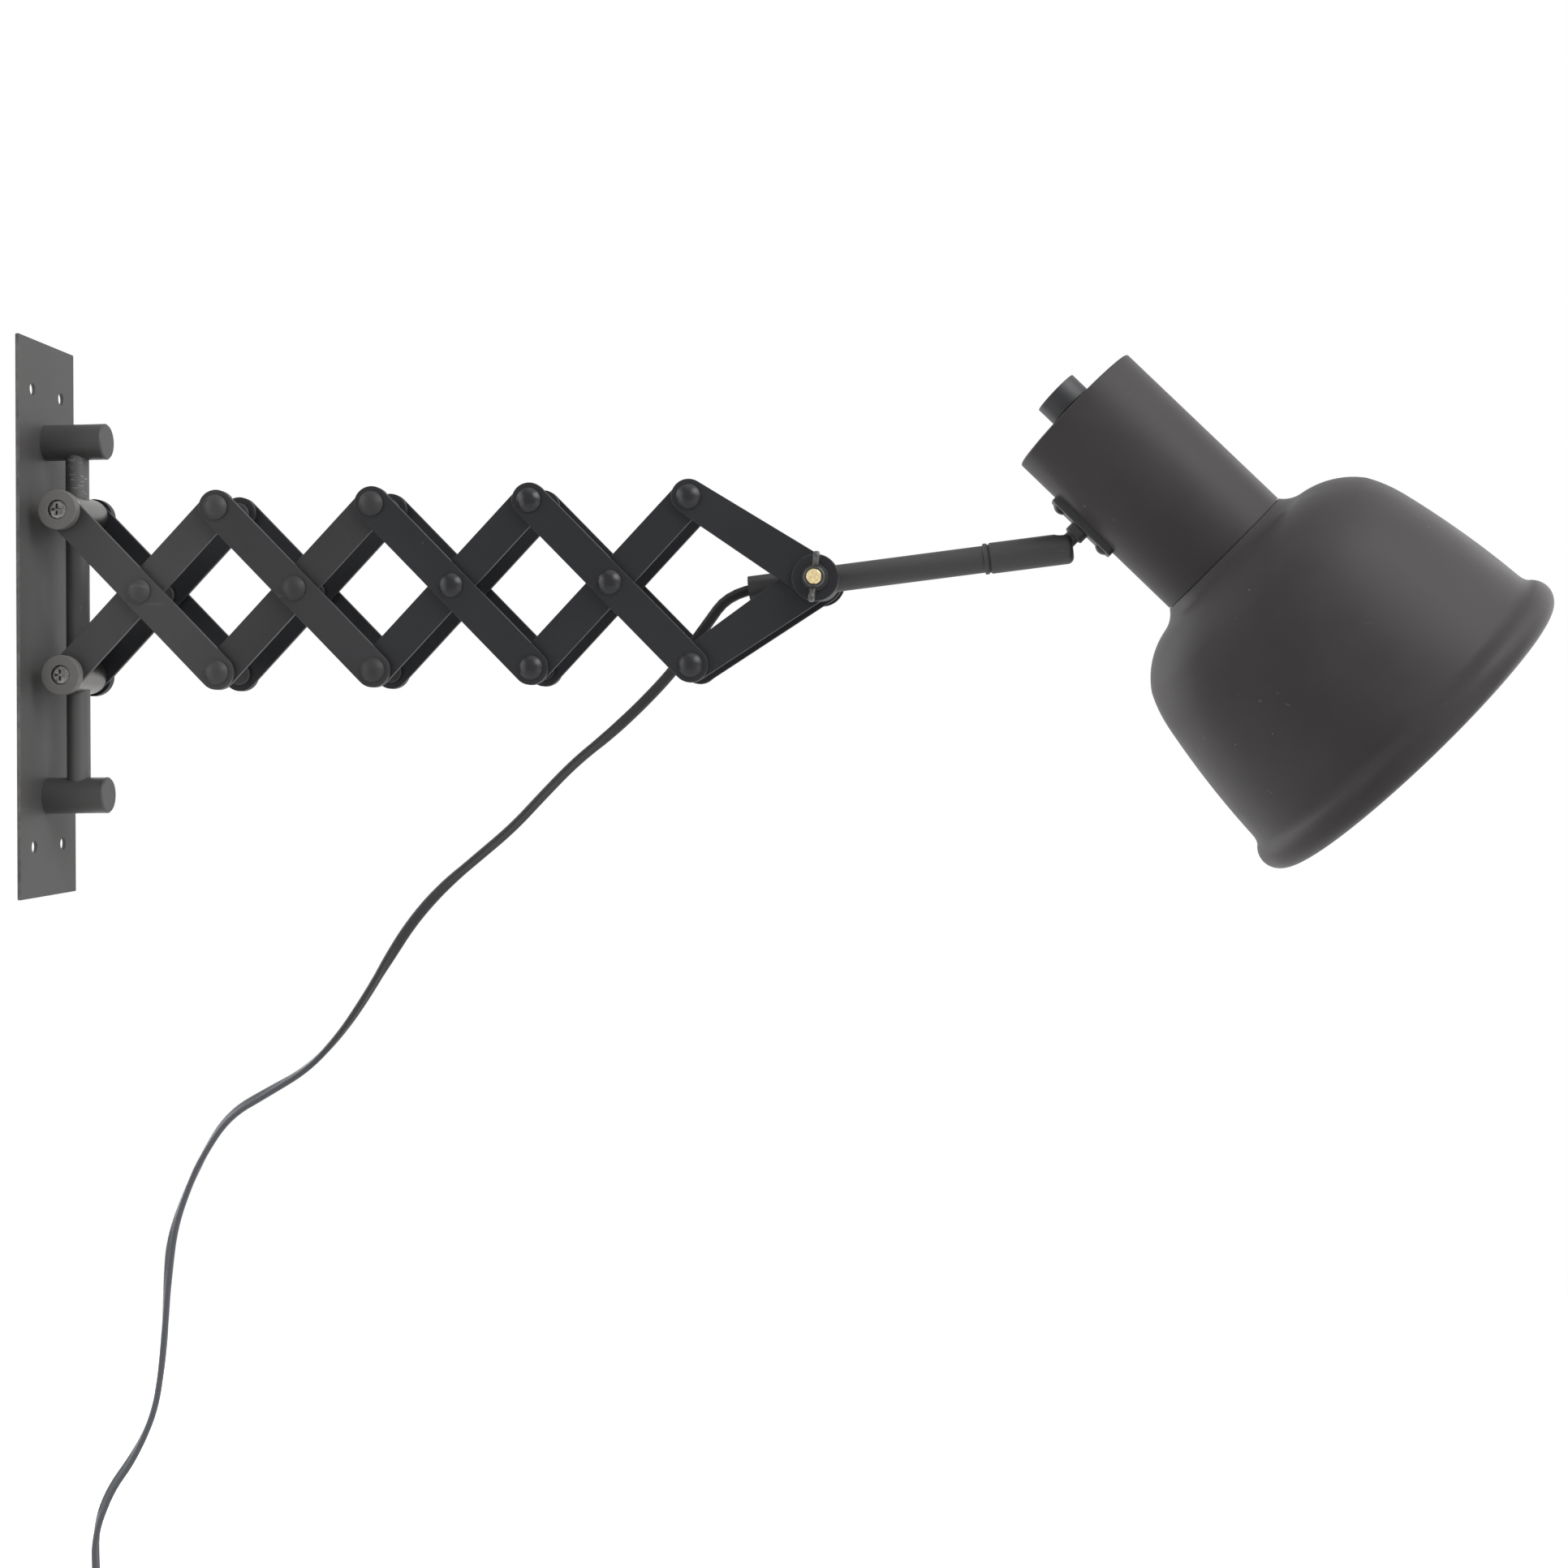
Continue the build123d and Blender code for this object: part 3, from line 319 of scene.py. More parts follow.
barCoat = {"worn": (0.085, 0.085, 0.086), "mark": (0.10, 0.10, 0.10), "gloss": 0.26, "roughness": 0.48, "grainSize": 1.0,
           "wear": 0.12, "specks": 0.25, "scratches": 0.2, "bump": 0.14}
plateCoat = {"worn": (0.16, 0.155, 0.15), "mark": (0.20, 0.195, 0.19), "gloss": 0.31, "roughness": 0.50, "grainSize": 1.0,
             "wear": 0.55, "specks": 0.35, "scratches": 0.25, "bump": 0.16}
coatSpecs = {
    "plate_paint": {**plateCoat, "dark": (0.0478, 0.0462, 0.0458), "light": (0.0570, 0.0553, 0.0548)},
    # a lighter paint for the near caps only: painted light
    "lit_cap_paint": {**plateCoat, "dark": (0.110, 0.107, 0.104), "light": (0.130, 0.127, 0.124),
                  "worn": (0.20, 0.195, 0.19), "gloss": 0.15, "wear": 0.4},
    "bar_paint": {**barCoat, "dark": (0.0088, 0.0094, 0.0116), "light": (0.0112, 0.0118, 0.0142)},
    # lighter copies of the bar paint, painted light for the two crosses nearest the wall
    "faded_bar_paint": {**barCoat, "dark": (0.0200, 0.0203, 0.0215), "light": (0.0250, 0.0253, 0.0267)},
    "wall_lit_bar_paint": {**barCoat, "dark": (0.0310, 0.0310, 0.0314), "light": (0.0385, 0.0385, 0.0390)},
    "tube_paint": {**barCoat, "dark": (0.0270, 0.0270, 0.0278), "light": (0.0315, 0.0315, 0.0324),
                   "gloss": 0.37, "roughness": 0.55, "wear": 0.5, "scratches": 0.3},
    "rivet_paint": {**barCoat, "dark": (0.0070, 0.0074, 0.0090), "light": (0.0092, 0.0096, 0.0116),
                    "worn": (0.07, 0.07, 0.072), "gloss": 0.30, "roughness": 0.30, "wear": 0.0, "specks": 0.3, "bump": 0.10},
    "nut_paint": {"dark": (0.022, 0.022, 0.022), "light": (0.032, 0.032, 0.032),
                  "worn": (0.16, 0.158, 0.155), "mark": (0.20, 0.20, 0.20), "gloss": 0.5, "roughness": 0.36,
                  "grainSize": 1.0, "wear": 0.7, "specks": 0.3, "scratches": 0.4, "bump": 0.12},
    "rod_paint": {"dark": (0.0660, 0.0643, 0.0636), "light": (0.0770, 0.0752, 0.0745),
                  "worn": (0.16, 0.155, 0.15), "mark": (0.24, 0.235, 0.23), "gloss": 0.40, "roughness": 0.50,
                  "grainSize": 1.0, "wear": 0.3, "specks": 0.3, "scratches": 0.3, "bump": 0.14,
                  "scuffs": (0.050, 0.068)},  # between these heights
    "head_paint": {"dark": (0.0390, 0.0362, 0.0364), "light": (0.0466, 0.0433, 0.0436),
                   "worn": (0.10, 0.098, 0.095), "mark": (0.16, 0.155, 0.15), "gloss": 0.09, "roughness": 0.44,
                   "grainSize": 1.2, "wear": 0.5, "specks": 0.5, "scratches": 0.3, "bump": 0.12},
    "black_plastic": {"dark": (0.016, 0.0165, 0.020), "light": (0.021, 0.0215, 0.026),
                      "worn": (0.05, 0.05, 0.055), "mark": (0.07, 0.07, 0.075), "gloss": 0.40, "roughness": 0.48,
                      "grainSize": 1.6, "wear": 0.3, "specks": 0.2, "scratches": 0.15, "bump": 0.10},
    "holder_plastic": {"dark": (0.012, 0.012, 0.012), "light": (0.018, 0.018, 0.018),
                       "worn": (0.04, 0.04, 0.04), "mark": (0.05, 0.05, 0.05), "gloss": 0.5, "roughness": 0.28,
                       "grainSize": 2.0, "wear": 0.2, "specks": 0.2, "scratches": 0.1, "bump": 0.06},
    "cord_sheath": {"dark": (0.013, 0.0135, 0.015), "light": (0.019, 0.0195, 0.0215),
                    "worn": (0.06, 0.06, 0.065), "mark": (0.09, 0.09, 0.095), "gloss": 0.35, "roughness": 0.42,
                    "grainSize": 1.4, "wear": 0.2, "specks": 0.3, "scratches": 0.1, "bump": 0.10,
                    "fade": (-0.205, -0.165, (0.060, 0.064, 0.074))},  # two heights, and the grey below them
    "shade_enamel": {"dark": (0.66, 0.65, 0.62), "light": (0.74, 0.73, 0.70),
                     "worn": (0.5, 0.49, 0.46), "mark": (0.45, 0.44, 0.42), "gloss": 0.5, "roughness": 0.32,
                     "grainSize": 0.9, "wear": 0.2, "specks": 0.3, "scratches": 0.1, "bump": 0.08},
}
metalSpecs = {
    "satin_steel": {"dark": (0.10, 0.098, 0.095), "light": (0.16, 0.157, 0.153), "line": (0.20, 0.197, 0.193),
                    "rings": (60, 2400, 60), "roughness": 0.34, "bump": 0.18},
    "zinc_screw": {"dark": (0.22, 0.216, 0.208), "light": (0.26, 0.255, 0.246), "line": (0.29, 0.284, 0.274),
                   "rings": (900, 900, 900), "roughness": 0.36, "bump": 0.10},
    "dark_zinc": {"dark": (0.09, 0.088, 0.084), "light": (0.15, 0.147, 0.141), "line": (0.19, 0.186, 0.179),
                  "rings": (900, 900, 900), "roughness": 0.26, "bump": 0.10},
    "brass_stud": {"dark": (0.52, 0.40, 0.19), "light": (0.70, 0.56, 0.30), "line": (0.78, 0.66, 0.40),
                   "rings": (900, 300, 900), "roughness": 0.34, "bump": 0.12},
}
finishes = {name: coatFinish(name, spec) for name, spec in coatSpecs.items()}
finishes.update({name: metalFinish(name, spec) for name, spec in metalSpecs.items()})
print("finishes:", ", ".join(sorted(finishes)))

# mesh makers
mostOfSide = 0.48  # how much of a side a rounded corner may take


def newMesh():
    bm = bmesh.new()
    return bm, bm.verts.layers.float.new("edgeMark")


def roundCorners(points, closed=False, steps=4):  # (along, radius, corner) to (along, radius, edge mark)
    out = []
    last = len(points) - 1
    for i, (along, radius, corner) in enumerate(points):
        if corner <= 0 or (not closed and i in (0, last)):
            out.append((along, radius, 0.0))
            continue
        here = Vector((along, radius))
        back = Vector(points[i - 1][:2]) - here
        ahead = Vector(points[(i + 1) % len(points)][:2]) - here
        half = back.angle(ahead) / 2
        cut = min(corner / math.tan(half), mostOfSide * back.length, mostOfSide * ahead.length)
        size = cut * math.tan(half)
        centre = here + (back.normalized() + ahead.normalized()).normalized() * (size / math.sin(half))
        start = here + back.normalized() * cut - centre
        end = here + ahead.normalized() * cut - centre
        sweep = start.angle_signed(end)
        for k in range(steps + 1):
            turned = Matrix.Rotation(-sweep * k / steps, 2) @ start + centre
            out.append((turned.x, turned.y, 0.0 if k in (0, steps) else 1.0))
    return out


def arcThrough(start, middle, end, steps):  # points of the circle arc through three profile points
    (ax, ay), (bx, by), (cx, cy) = start, middle, end
    a, b, c = ax * ax + ay * ay, bx * bx + by * by, cx * cx + cy * cy
    d = 2 * (ax * (by - cy) + bx * (cy - ay) + cx * (ay - by))
    centre = Vector(((a * (by - cy) + b * (cy - ay) + c * (ay - by)) / d,
                     (a * (cx - bx) + b * (ax - cx) + c * (bx - ax)) / d))
    first, second, third = (Vector(p) - centre for p in (start, middle, end))
    sweep = first.angle_signed(second) + second.angle_signed(third)
    points = []
    for k in range(steps + 1):
        turned = Matrix.Rotation(-sweep * k / steps, 2) @ first + centre
        points.append((turned.x, turned.y, 0.0))
    return points


def joinRings(bm, rings, capped=False):
    for low, high in zip(rings, rings[1:]):
        for k in range(len(low)):
            after = (k + 1) % len(low)
            bm.faces.new((low[k], low[after], high[after], high[k]))
    if capped:
        bm.faces.new(rings[0])
        bm.faces.new(rings[-1])


def addTurned(bm, mark, origin, axis, profile, sides, closed=False, faceSlots=None):  # profile in mm, turned about an axis
    axis = Vector(axis).normalized()
    side = axis.orthogonal().normalized()
    other = axis.cross(side)
    rings = []
    for along, radius, worn in profile:
        centre = Vector(origin) + axis * along * mm
        count = 1 if radius < 1e-6 else sides
        ring = []
        for k in range(count):
            angle = fullTurn * k / count
            ring.append(bm.verts.new(centre + (side * math.cos(angle) + other * math.sin(angle)) * radius * mm))
            ring[-1][mark] = worn
        rings.append(ring)
    pairs = list(zip(rings, rings[1:])) + ([(rings[-1], rings[0])] if closed else [])
    for index, (low, high) in enumerate(pairs):
        for k in range(sides):
            after = (k + 1) % sides
            quad = [low[k % len(low)], low[after % len(low)], high[after % len(high)], high[k % len(high)]]
            corners = list(dict.fromkeys(quad))  # a ring on the axis is one point
            if len(corners) > 2:
                bm.faces.new(corners).material_index = faceSlots[index] if faceSlots else 0


def roundEdge(thickness, edge, steps=3):  # (inset, depth, mark) from the back face to the front face
    angles = [quarterTurn * k / steps for k in range(steps + 1)]
    quarter = [(edge * (1 - math.sin(angle)), edge * (1 - math.cos(angle))) for angle in angles]
    rows = [(inset, depth, 0.0 if k == 0 else 1.0) for k, (inset, depth) in enumerate(quarter)]
    return rows + [(inset, thickness - depth, worn) for inset, depth, worn in reversed(rows)]


def addPlate(bm, mark, loops, put):  # loops of (points, rows), with the material on each loop's left
    backEdges, frontEdges = [], []
    for points, rows in loops:
        flat = [Vector(p) for p in points]
        count = len(flat)
        inward = []
        for i in range(count):
            before = (flat[i] - flat[i - 1]).normalized()
            after = (flat[(i + 1) % count] - flat[i]).normalized()
            first, second = Vector((-before.y, before.x)), Vector((-after.y, after.x))
            inward.append((first + second) / (1 + first.dot(second)))
        rings = []
        for inset, depth, worn in rows:
            ring = []
            for p, n in zip(flat, inward):
                spot = p + n * inset
                ring.append(bm.verts.new(put(spot.x * mm, spot.y * mm, depth * mm)))
                ring[-1][mark] = worn
            rings.append(ring)
        joinRings(bm, rings)
        for ring, edges in ((rings[0], backEdges), (rings[-1], frontEdges)):
            edges += [bm.edges.get((ring[k], ring[(k + 1) % count])) for k in range(count)]
    for edges in (backEdges, frontEdges):
        bmesh.ops.triangle_fill(bm, use_beauty=True, edges=edges)


def circleLoop(centre, radius, count, hole=False):
    angles = [(-1 if hole else 1) * fullTurn * k / count for k in range(count)]
    return [(centre[0] + radius * math.cos(angle), centre[1] + radius * math.sin(angle)) for angle in angles]


def slotLoop(start, end, startRadius, endRadius, count=22):  # bar outline with round ends, wider towards the larger one
    run = Vector(end) - Vector(start)
    turn = math.atan2(run.y, run.x)
    join = quarterTurn + math.asin((endRadius - startRadius) / run.length)
    points = []
    for centre, radius, low, high in ((end, endRadius, turn - join, turn + join),
                                      (start, startRadius, turn + join, turn + fullTurn - join)):
        for k in range(count + 1):
            angle = low + (high - low) * k / count
            points.append((centre[0] + radius * math.cos(angle), centre[1] + radius * math.sin(angle)))
    return points


def meshObject(name, bm, materials, sharp):
    bmesh.ops.recalc_face_normals(bm, faces=bm.faces)
    mesh = bpy.data.meshes.new(name)
    bm.to_mesh(mesh)
    bm.free()
    for material in materials:
        mesh.materials.append(finishes[material])
    mesh.polygons.foreach_set("use_smooth", [True] * len(mesh.polygons))
    mesh.set_sharp_from_angle(angle=math.radians(sharp))
    return addObject(name, mesh)


def makePiece(name, bm, materials, node, sharp=35.0):
    piece = meshObject(name, bm, materials, sharp)
    weighted = piece.modifiers.new("evenNormals", "WEIGHTED_NORMAL")
    weighted.keep_sharp = True
    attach(piece, bodyOf[node])
    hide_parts(node)
    return piece


# places shared by the pieces, millimetres and degrees
lattice = {"rodX": 14.5, "halfPitch": 46.94, "foldAngle": 46.18, "endBar": 61.1, "height": 9.85, "crosses": 4,
           "innerFace": 12.2, "outerFace": 14.5, "barWidth": 14.2, "barThickness": 2.0, "edge": 0.30, "holeEdge": 0.15,
           "holeSides": 32, "rivetHole": 6.1, "spigotHole": 9.1, "clampEye": 17.4, "looseEye": 11.2, "looseDrop": 2.1}
armSpec = {"tilt": 6.3, "rear": 28.5, "ball": 98.4, "neckTilt": 45.3, "stem": 44.05, "capBack": 35.4}
stepX = lattice["halfPitch"] * math.cos(math.radians(lattice["foldAngle"]))
stepZ = lattice["halfPitch"] * math.sin(math.radians(lattice["foldAngle"]))
hubX = lattice["rodX"] + 2 * lattice["crosses"] * stepX + math.sqrt(lattice["endBar"] ** 2 - stepZ ** 2)
hub = Vector((hubX, 0, lattice["height"])) * mm
armAngle, neckAngle = math.radians(armSpec["tilt"]), math.radians(armSpec["neckTilt"])
armWay = Vector((math.cos(armAngle), 0, math.sin(armAngle)))
neckWay = Vector((math.cos(neckAngle), 0, -math.sin(neckAngle)))
stemWay = Vector((math.sin(neckAngle), 0, math.cos(neckAngle)))
ball = hub + armWay * armSpec["ball"] * mm
capCentre = ball + stemWay * armSpec["stem"] * mm - neckWay * armSpec["capBack"] * mm


def middlePivot(i):
    return (lattice["rodX"] + (2 * i - 1) * stepX, lattice["height"])


def upperPivot(i):
    return (lattice["rodX"] + 2 * i * stepX, lattice["height"] + stepZ)


def lowerPivot(i):
    return (lattice["rodX"] + 2 * i * stepX, lattice["height"] - stepZ)


# cord: one flat lead from the tube's rear end, hanging to its tied coil
cordSpec = {
    "width": 4.5, "thickness": 2.6, "waist": 0.40, "length": 1.7911, "resolution": 6, "coreSteps": 6, "sharp": 50.0,
    "route": [  # x and z of each point, and the lead's twist there in degrees (0 shows its wide side)
        (0.3050, 0.00760, 20), (0.2896, 0.00680, 20), (0.2775, -0.0096, 10), (0.2658, -0.0253, 5), (0.2530, -0.0386, 0),
        (0.2393, -0.0510, 45), (0.2244, -0.0625, 50), (0.2112, -0.0756, 50), (0.1982, -0.0891, 48), (0.1836, -0.1010, 50),
        (0.1687, -0.1131, 10), (0.1559, -0.1270, 5), (0.1455, -0.1427, 68), (0.1357, -0.1587, 78), (0.1248, -0.1740, 95),
        (0.1114, -0.1877, 112), (0.0946, -0.1970, 137), (0.0781, -0.2062, 118), (0.0674, -0.2218, 96), (0.0592, -0.2389, 118),
        (0.0531, -0.2564, 154), (0.0512, -0.2749, 122), (0.0502, -0.2935, 102), (0.0484, -0.3121, 110), (0.0451, -0.3302, 105),
        (0.0366, -0.3472, 137), (0.0256, -0.3618, 142), (0.0196, -0.3792, 92), (0.0203, -0.3980, 90), (0.0203, -0.4460, 90),
    ],
    "bendEnd": (0.2658, 0, -0.0253),  # from here on it hangs from the pivot
    "coilRadius": 0.0275, "coilHeight": -0.452, "coilLeft": 0.0203, "coilPitch": 0.0058, "coilTurns": 7, "turnPoints": 16,
    "tail": 0.014,
}


def cordPoints(spec):
    points = [(Vector((x, 0, z)), twist) for x, z, twist in spec["route"]]
    swell = spec["coilRadius"] / math.cos(math.pi / spec["turnPoints"])  # the spline runs inside its points
    centreX = spec["coilLeft"] + spec["coilRadius"]
    lastTwist = spec["route"][-1][2]
    for k in range(1, spec["coilTurns"] * spec["turnPoints"]):
        turns = k / spec["turnPoints"]
        angle = math.pi + fullTurn * turns
        across, up = swell * math.cos(angle), swell * math.sin(angle)
        points.append((Vector((centreX + across, spec["coilPitch"] * turns, spec["coilHeight"] + up)), lastTwist))
    endY = spec["coilPitch"] * spec["coilTurns"]
    for drop in (0.0, 0.5, 1.0):
        points.append((Vector((spec["coilLeft"], endY, spec["coilHeight"] - drop * spec["tail"])), lastTwist))
    return points


def smoothLine(points, resolution):  # points read from a spline with the route's points as control points
    curve = bpy.data.curves.new("cordLine", "CURVE")
    curve.dimensions = "3D"
    spline = curve.splines.new("NURBS")
    spline.points.add(len(points) - 1)
    for p, (spot, _) in zip(spline.points, points):
        p.co = (*spot, 1.0)
    spline.order_u = 3
    spline.use_endpoint_u = True
    spline.resolution_u = resolution
    holder = addObject("cordLine", curve)
    line = bpy.data.meshes.new_from_object(holder.evaluated_get(bpy.context.evaluated_depsgraph_get()))
    spots = [v.co.copy() for v in line.vertices]
    bpy.data.objects.remove(holder)
    bpy.data.curves.remove(curve)
    bpy.data.meshes.remove(line)
    return spots


def leadSection(spec):  # two cores side by side under one sheath
    radius = spec["thickness"] / 2
    offset = spec["width"] / 2 - radius
    points = []
    for way in (1, -1):
        for k in range(spec["coreSteps"] + 1):
            angle = -quarterTurn + math.pi * k / spec["coreSteps"]
            points.append((way * (offset + radius * math.cos(angle)), way * radius * math.sin(angle)))
        points.append((0.0, way * (radius - spec["waist"])))
    return points


def makeCord(spec):
    points = cordPoints(spec)
    spots = smoothLine(points, spec["resolution"])
    section = leadSection(spec)
    bm, _ = newMesh()
    rings = []
    for i, spot in enumerate(spots):
        way = (spots[min(i + 1, len(spots) - 1)] - spots[max(i - 1, 0)]).normalized()
        place = (len(points) - 1) * i / (len(spots) - 1)
        low = min(int(place), len(points) - 2)
        twist = math.radians(points[low][1] + (points[low + 1][1] - points[low][1]) * (place - low))
        flat = way.cross(acrossY).normalized()
        deep = flat.cross(way)
        wide = flat * math.cos(twist) + deep * math.sin(twist)
        thin = way.cross(wide)
        rings.append([bm.verts.new(spot + (wide * a + thin * b) * mm) for a, b in section])
    joinRings(bm, rings, True)
    cord = meshObject("flatCord", bm, ["cord_sheath"], spec["sharp"])
    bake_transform(cord)
    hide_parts("cord_start", "cord_run", "cord_coil")
    return cord, spots


flatCord, cordPath = makeCord(cordSpec)

plugSpec = {"top": -0.466, "x": 0.0203, "y": 0.0406, "sides": 40, "squareness": 0.62,
            "neck": 20.0, "relief": 7.6, "taper": 1.6, "ribs": 5, "ribDepth": 0.7, "ribRows": 6, "ribFade": 6,
            "body": 30.0, "bodyRows": 12, "waist": (15.0, 10.4), "face": (25.0, 13.0), "faceInset": 1.6, "faceEdge": 0.8,
            "pin": 4.0, "pinLength": 19.0, "pinSpacing": 19.0, "pinSides": 24, "pinSink": 1.0, "pinTip": 1.4, "pinStep": 0.25,
            "sleeve": 10.0, "sleeveEdge": 0.2, "sleeveWall": 0.3}


def makePlug(spec):
    rows = []
    steps = spec["ribRows"] * spec["ribs"]
    for k in range(steps + 1):  # ribbed strain relief
        t = k / steps
        wave = 0.5 - 0.5 * math.cos(fullTurn * spec["ribs"] * t)
        groove = spec["ribDepth"] * wave * min(1.0, spec["ribFade"] * (1 - t))
        sizes = [spec["relief"] + (waist - spec["relief"]) * t ** spec["taper"] - groove for waist in spec["waist"]]
        rows.append((t * spec["neck"], *sizes))
    for k in range(1, spec["bodyRows"] + 1):  # body swells to the pin face
        t = k / spec["bodyRows"]
        ease = math.sin(t * math.pi / 2)
        sizes = [waist + (face - waist) * ease for waist, face in zip(spec["waist"], spec["face"])]
        rows.append((spec["neck"] + spec["body"] * t, *sizes))
    face, wide, deep = rows.pop()
    rows += [(face - spec["faceEdge"], wide, deep), (face, wide - spec["faceInset"], deep - spec["faceInset"])]

    def squarish(value):
        return math.copysign(abs(value) ** spec["squareness"], value)

    bm, mark = newMesh()
    rings = []
    for depth, wide, deep in rows:
        ring = []
        for k in range(spec["sides"]):
            angle = fullTurn * k / spec["sides"]
            x = spec["x"] + squarish(math.cos(angle)) * wide / 2 * mm
            y = spec["y"] + squarish(math.sin(angle)) * deep / 2 * mm
            ring.append(bm.verts.new((x, y, spec["top"] - depth * mm)))
        rings.append(ring)
    joinRings(bm, rings, True)
    radius, bare = spec["pin"] / 2, spec["pin"] / 2 - spec["pinStep"]
    end, root = spec["sleeve"], spec["sleeve"] - spec["pinSink"]
    sleeve = roundCorners([
        (-spec["pinSink"], 0, 0), (-spec["pinSink"], radius, 0), (end, radius, spec["sleeveEdge"]),
        (end, radius - spec["sleeveWall"], 0), (root, 0, 0)])
    pin = roundCorners([
        (root, 0, 0), (root, bare, 0), (spec["pinLength"], bare, spec["pinTip"]), (spec["pinLength"], 0, 0)])
    for way in (1, -1):
        foot = Vector((spec["x"] + way * spec["pinSpacing"] / 2 * mm, spec["y"], spec["top"] - face * mm))
        addTurned(bm, mark, foot, (0, 0, -1), sleeve, spec["pinSides"])
        addTurned(bm, mark, foot, (0, 0, -1), pin, spec["pinSides"], faceSlots=[1] * len(pin))
    return makePiece("plugBody", bm, ["black_plastic", "zinc_screw"], "plug")


plugBody = makePlug(plugSpec)
print("cord and plug made")

# wall plate with its holes, the post screws' countersinks behind
plateSpec = {"width": 54.5, "height": 231.0, "thickness": 1.5, "corner": 0.6, "cornerSteps": 6, "edge": 0.25,
             "hole": 5.2, "holeY": 28.0, "holeZ": 189.0, "holeEdge": 0.15, "holeSides": 36,
             "postHole": 5.0, "screwHead": 9.0, "postZ": 73.9}


def makeWallPlate(spec):
    corners = []
    for sy, sz, first in ((1, 1, 0), (-1, 1, 90), (-1, -1, 180), (1, -1, 270)):
        centre = (sy * (spec["width"] / 2 - spec["corner"]), sz * (spec["height"] / 2 - spec["corner"]))
        for k in range(spec["cornerSteps"] + 1):
            angle = math.radians(first + 90 * k / spec["cornerSteps"])
            corners.append((centre[0] + spec["corner"] * math.cos(angle), centre[1] + spec["corner"] * math.sin(angle)))
    loops = [(corners, roundEdge(spec["thickness"], spec["edge"]))]
    holeRows = [(inset, depth, 0.0) for inset, depth, _ in roundEdge(spec["thickness"], spec["holeEdge"])]
    for sy in (1, -1):
        for sz in (1, -1):
            spot = (sy * spec["holeY"] / 2, sz * spec["holeZ"] / 2)
            loops.append((circleLoop(spot, spec["hole"] / 2, spec["holeSides"], True), holeRows))
    sink = (spec["screwHead"] - spec["postHole"]) / 2
    for sz in (1, -1):
        hole = circleLoop((0, sz * spec["postZ"]), spec["postHole"] / 2, spec["holeSides"], True)
        loops.append((hole, [(sink, 0, 0), (0, spec["thickness"], 0)]))
    bm, mark = newMesh()
    addPlate(bm, mark, loops, lambda a, b, depth: Vector((depth, a, b)))
    makePiece("wallPlate", bm, ["plate_paint"], "wall_plate")


makeWallPlate(plateSpec)

# countersunk screws that hold the posts from behind, with a cross drive
screwSpec = {"length": 9.0, "play": 0.05, "sides": 48,
             "driveDepth": 1.0, "driveReach": 2.3, "driveHalf": 0.6, "driveDraft": 0.15}


def makePostScrews(spec):
    head, shank = plateSpec["screwHead"] / 2 - spec["play"], plateSpec["postHole"] / 2 - spec["play"]
    depth, reach, half, length = spec["driveDepth"], spec["driveReach"], spec["driveHalf"], spec["length"]
    narrowing = (head - shank) * depth / plateSpec["thickness"]
    quarter = [Vector(p) for p in ((reach, -half), (reach, half), (half, half))]
    drive = [(x, y) for turn in range(4) for x, y in [Matrix.Rotation(turn * math.pi / 2, 2) @ p for p in quarter]]
    shaft = [(depth, 0, 0), (depth, head - narrowing, 0), (plateSpec["thickness"], shank, 0),
             (length, shank, 0), (length, 0, 0)]
    bm, mark = newMesh()
    for sz in (1, -1):
        foot = Vector((0, 0, sz * plateSpec["postZ"] * mm))
        loops = [(circleLoop((0, 0), head, spec["sides"]), [(0, 0, 0), (narrowing, depth, 0)]),
                 (drive[::-1], [(0, 0, 0), (-spec["driveDraft"], depth, 0)])]
        addPlate(bm, mark, loops, lambda a, b, deep: foot + Vector((deep, a, b)))
        addTurned(bm, mark, foot, (1, 0, 0), shaft, spec["sides"])
    makePiece("postScrews", bm, ["zinc_screw"], "post_screws")


makePostScrews(screwSpec)


# flat bars of the lattice
def makeBar(name, node, start, end, side, near, holes, endRadius=None, finish="bar_paint"):
    half, thickness = lattice["barWidth"] / 2, lattice["barThickness"]
    loops = [(slotLoop(start, end, half, endRadius or half), roundEdge(thickness, lattice["edge"]))]
    for x, z, diameter in holes:
        hole = circleLoop((x, z), diameter / 2, lattice["holeSides"], True)
        loops.append((hole, roundEdge(thickness, lattice["holeEdge"], 1)))
    bm, mark = newMesh()
    addPlate(bm, mark, loops, lambda a, b, depth: Vector((a, side * (near * mm + depth), b)))
    makePiece(name, bm, [finish], node)


# finishes by cross, lighter towards the wall as painted light: the near side's bars, and the rivets of both sides
barFinish = {1: "wall_lit_bar_paint", 2: "faded_bar_paint", 3: "bar_paint", 4: "bar_paint"}
rivetFinish = {1: "wall_lit_bar_paint", 2: "faded_bar_paint", 3: "rivet_paint", 4: "rivet_paint"}


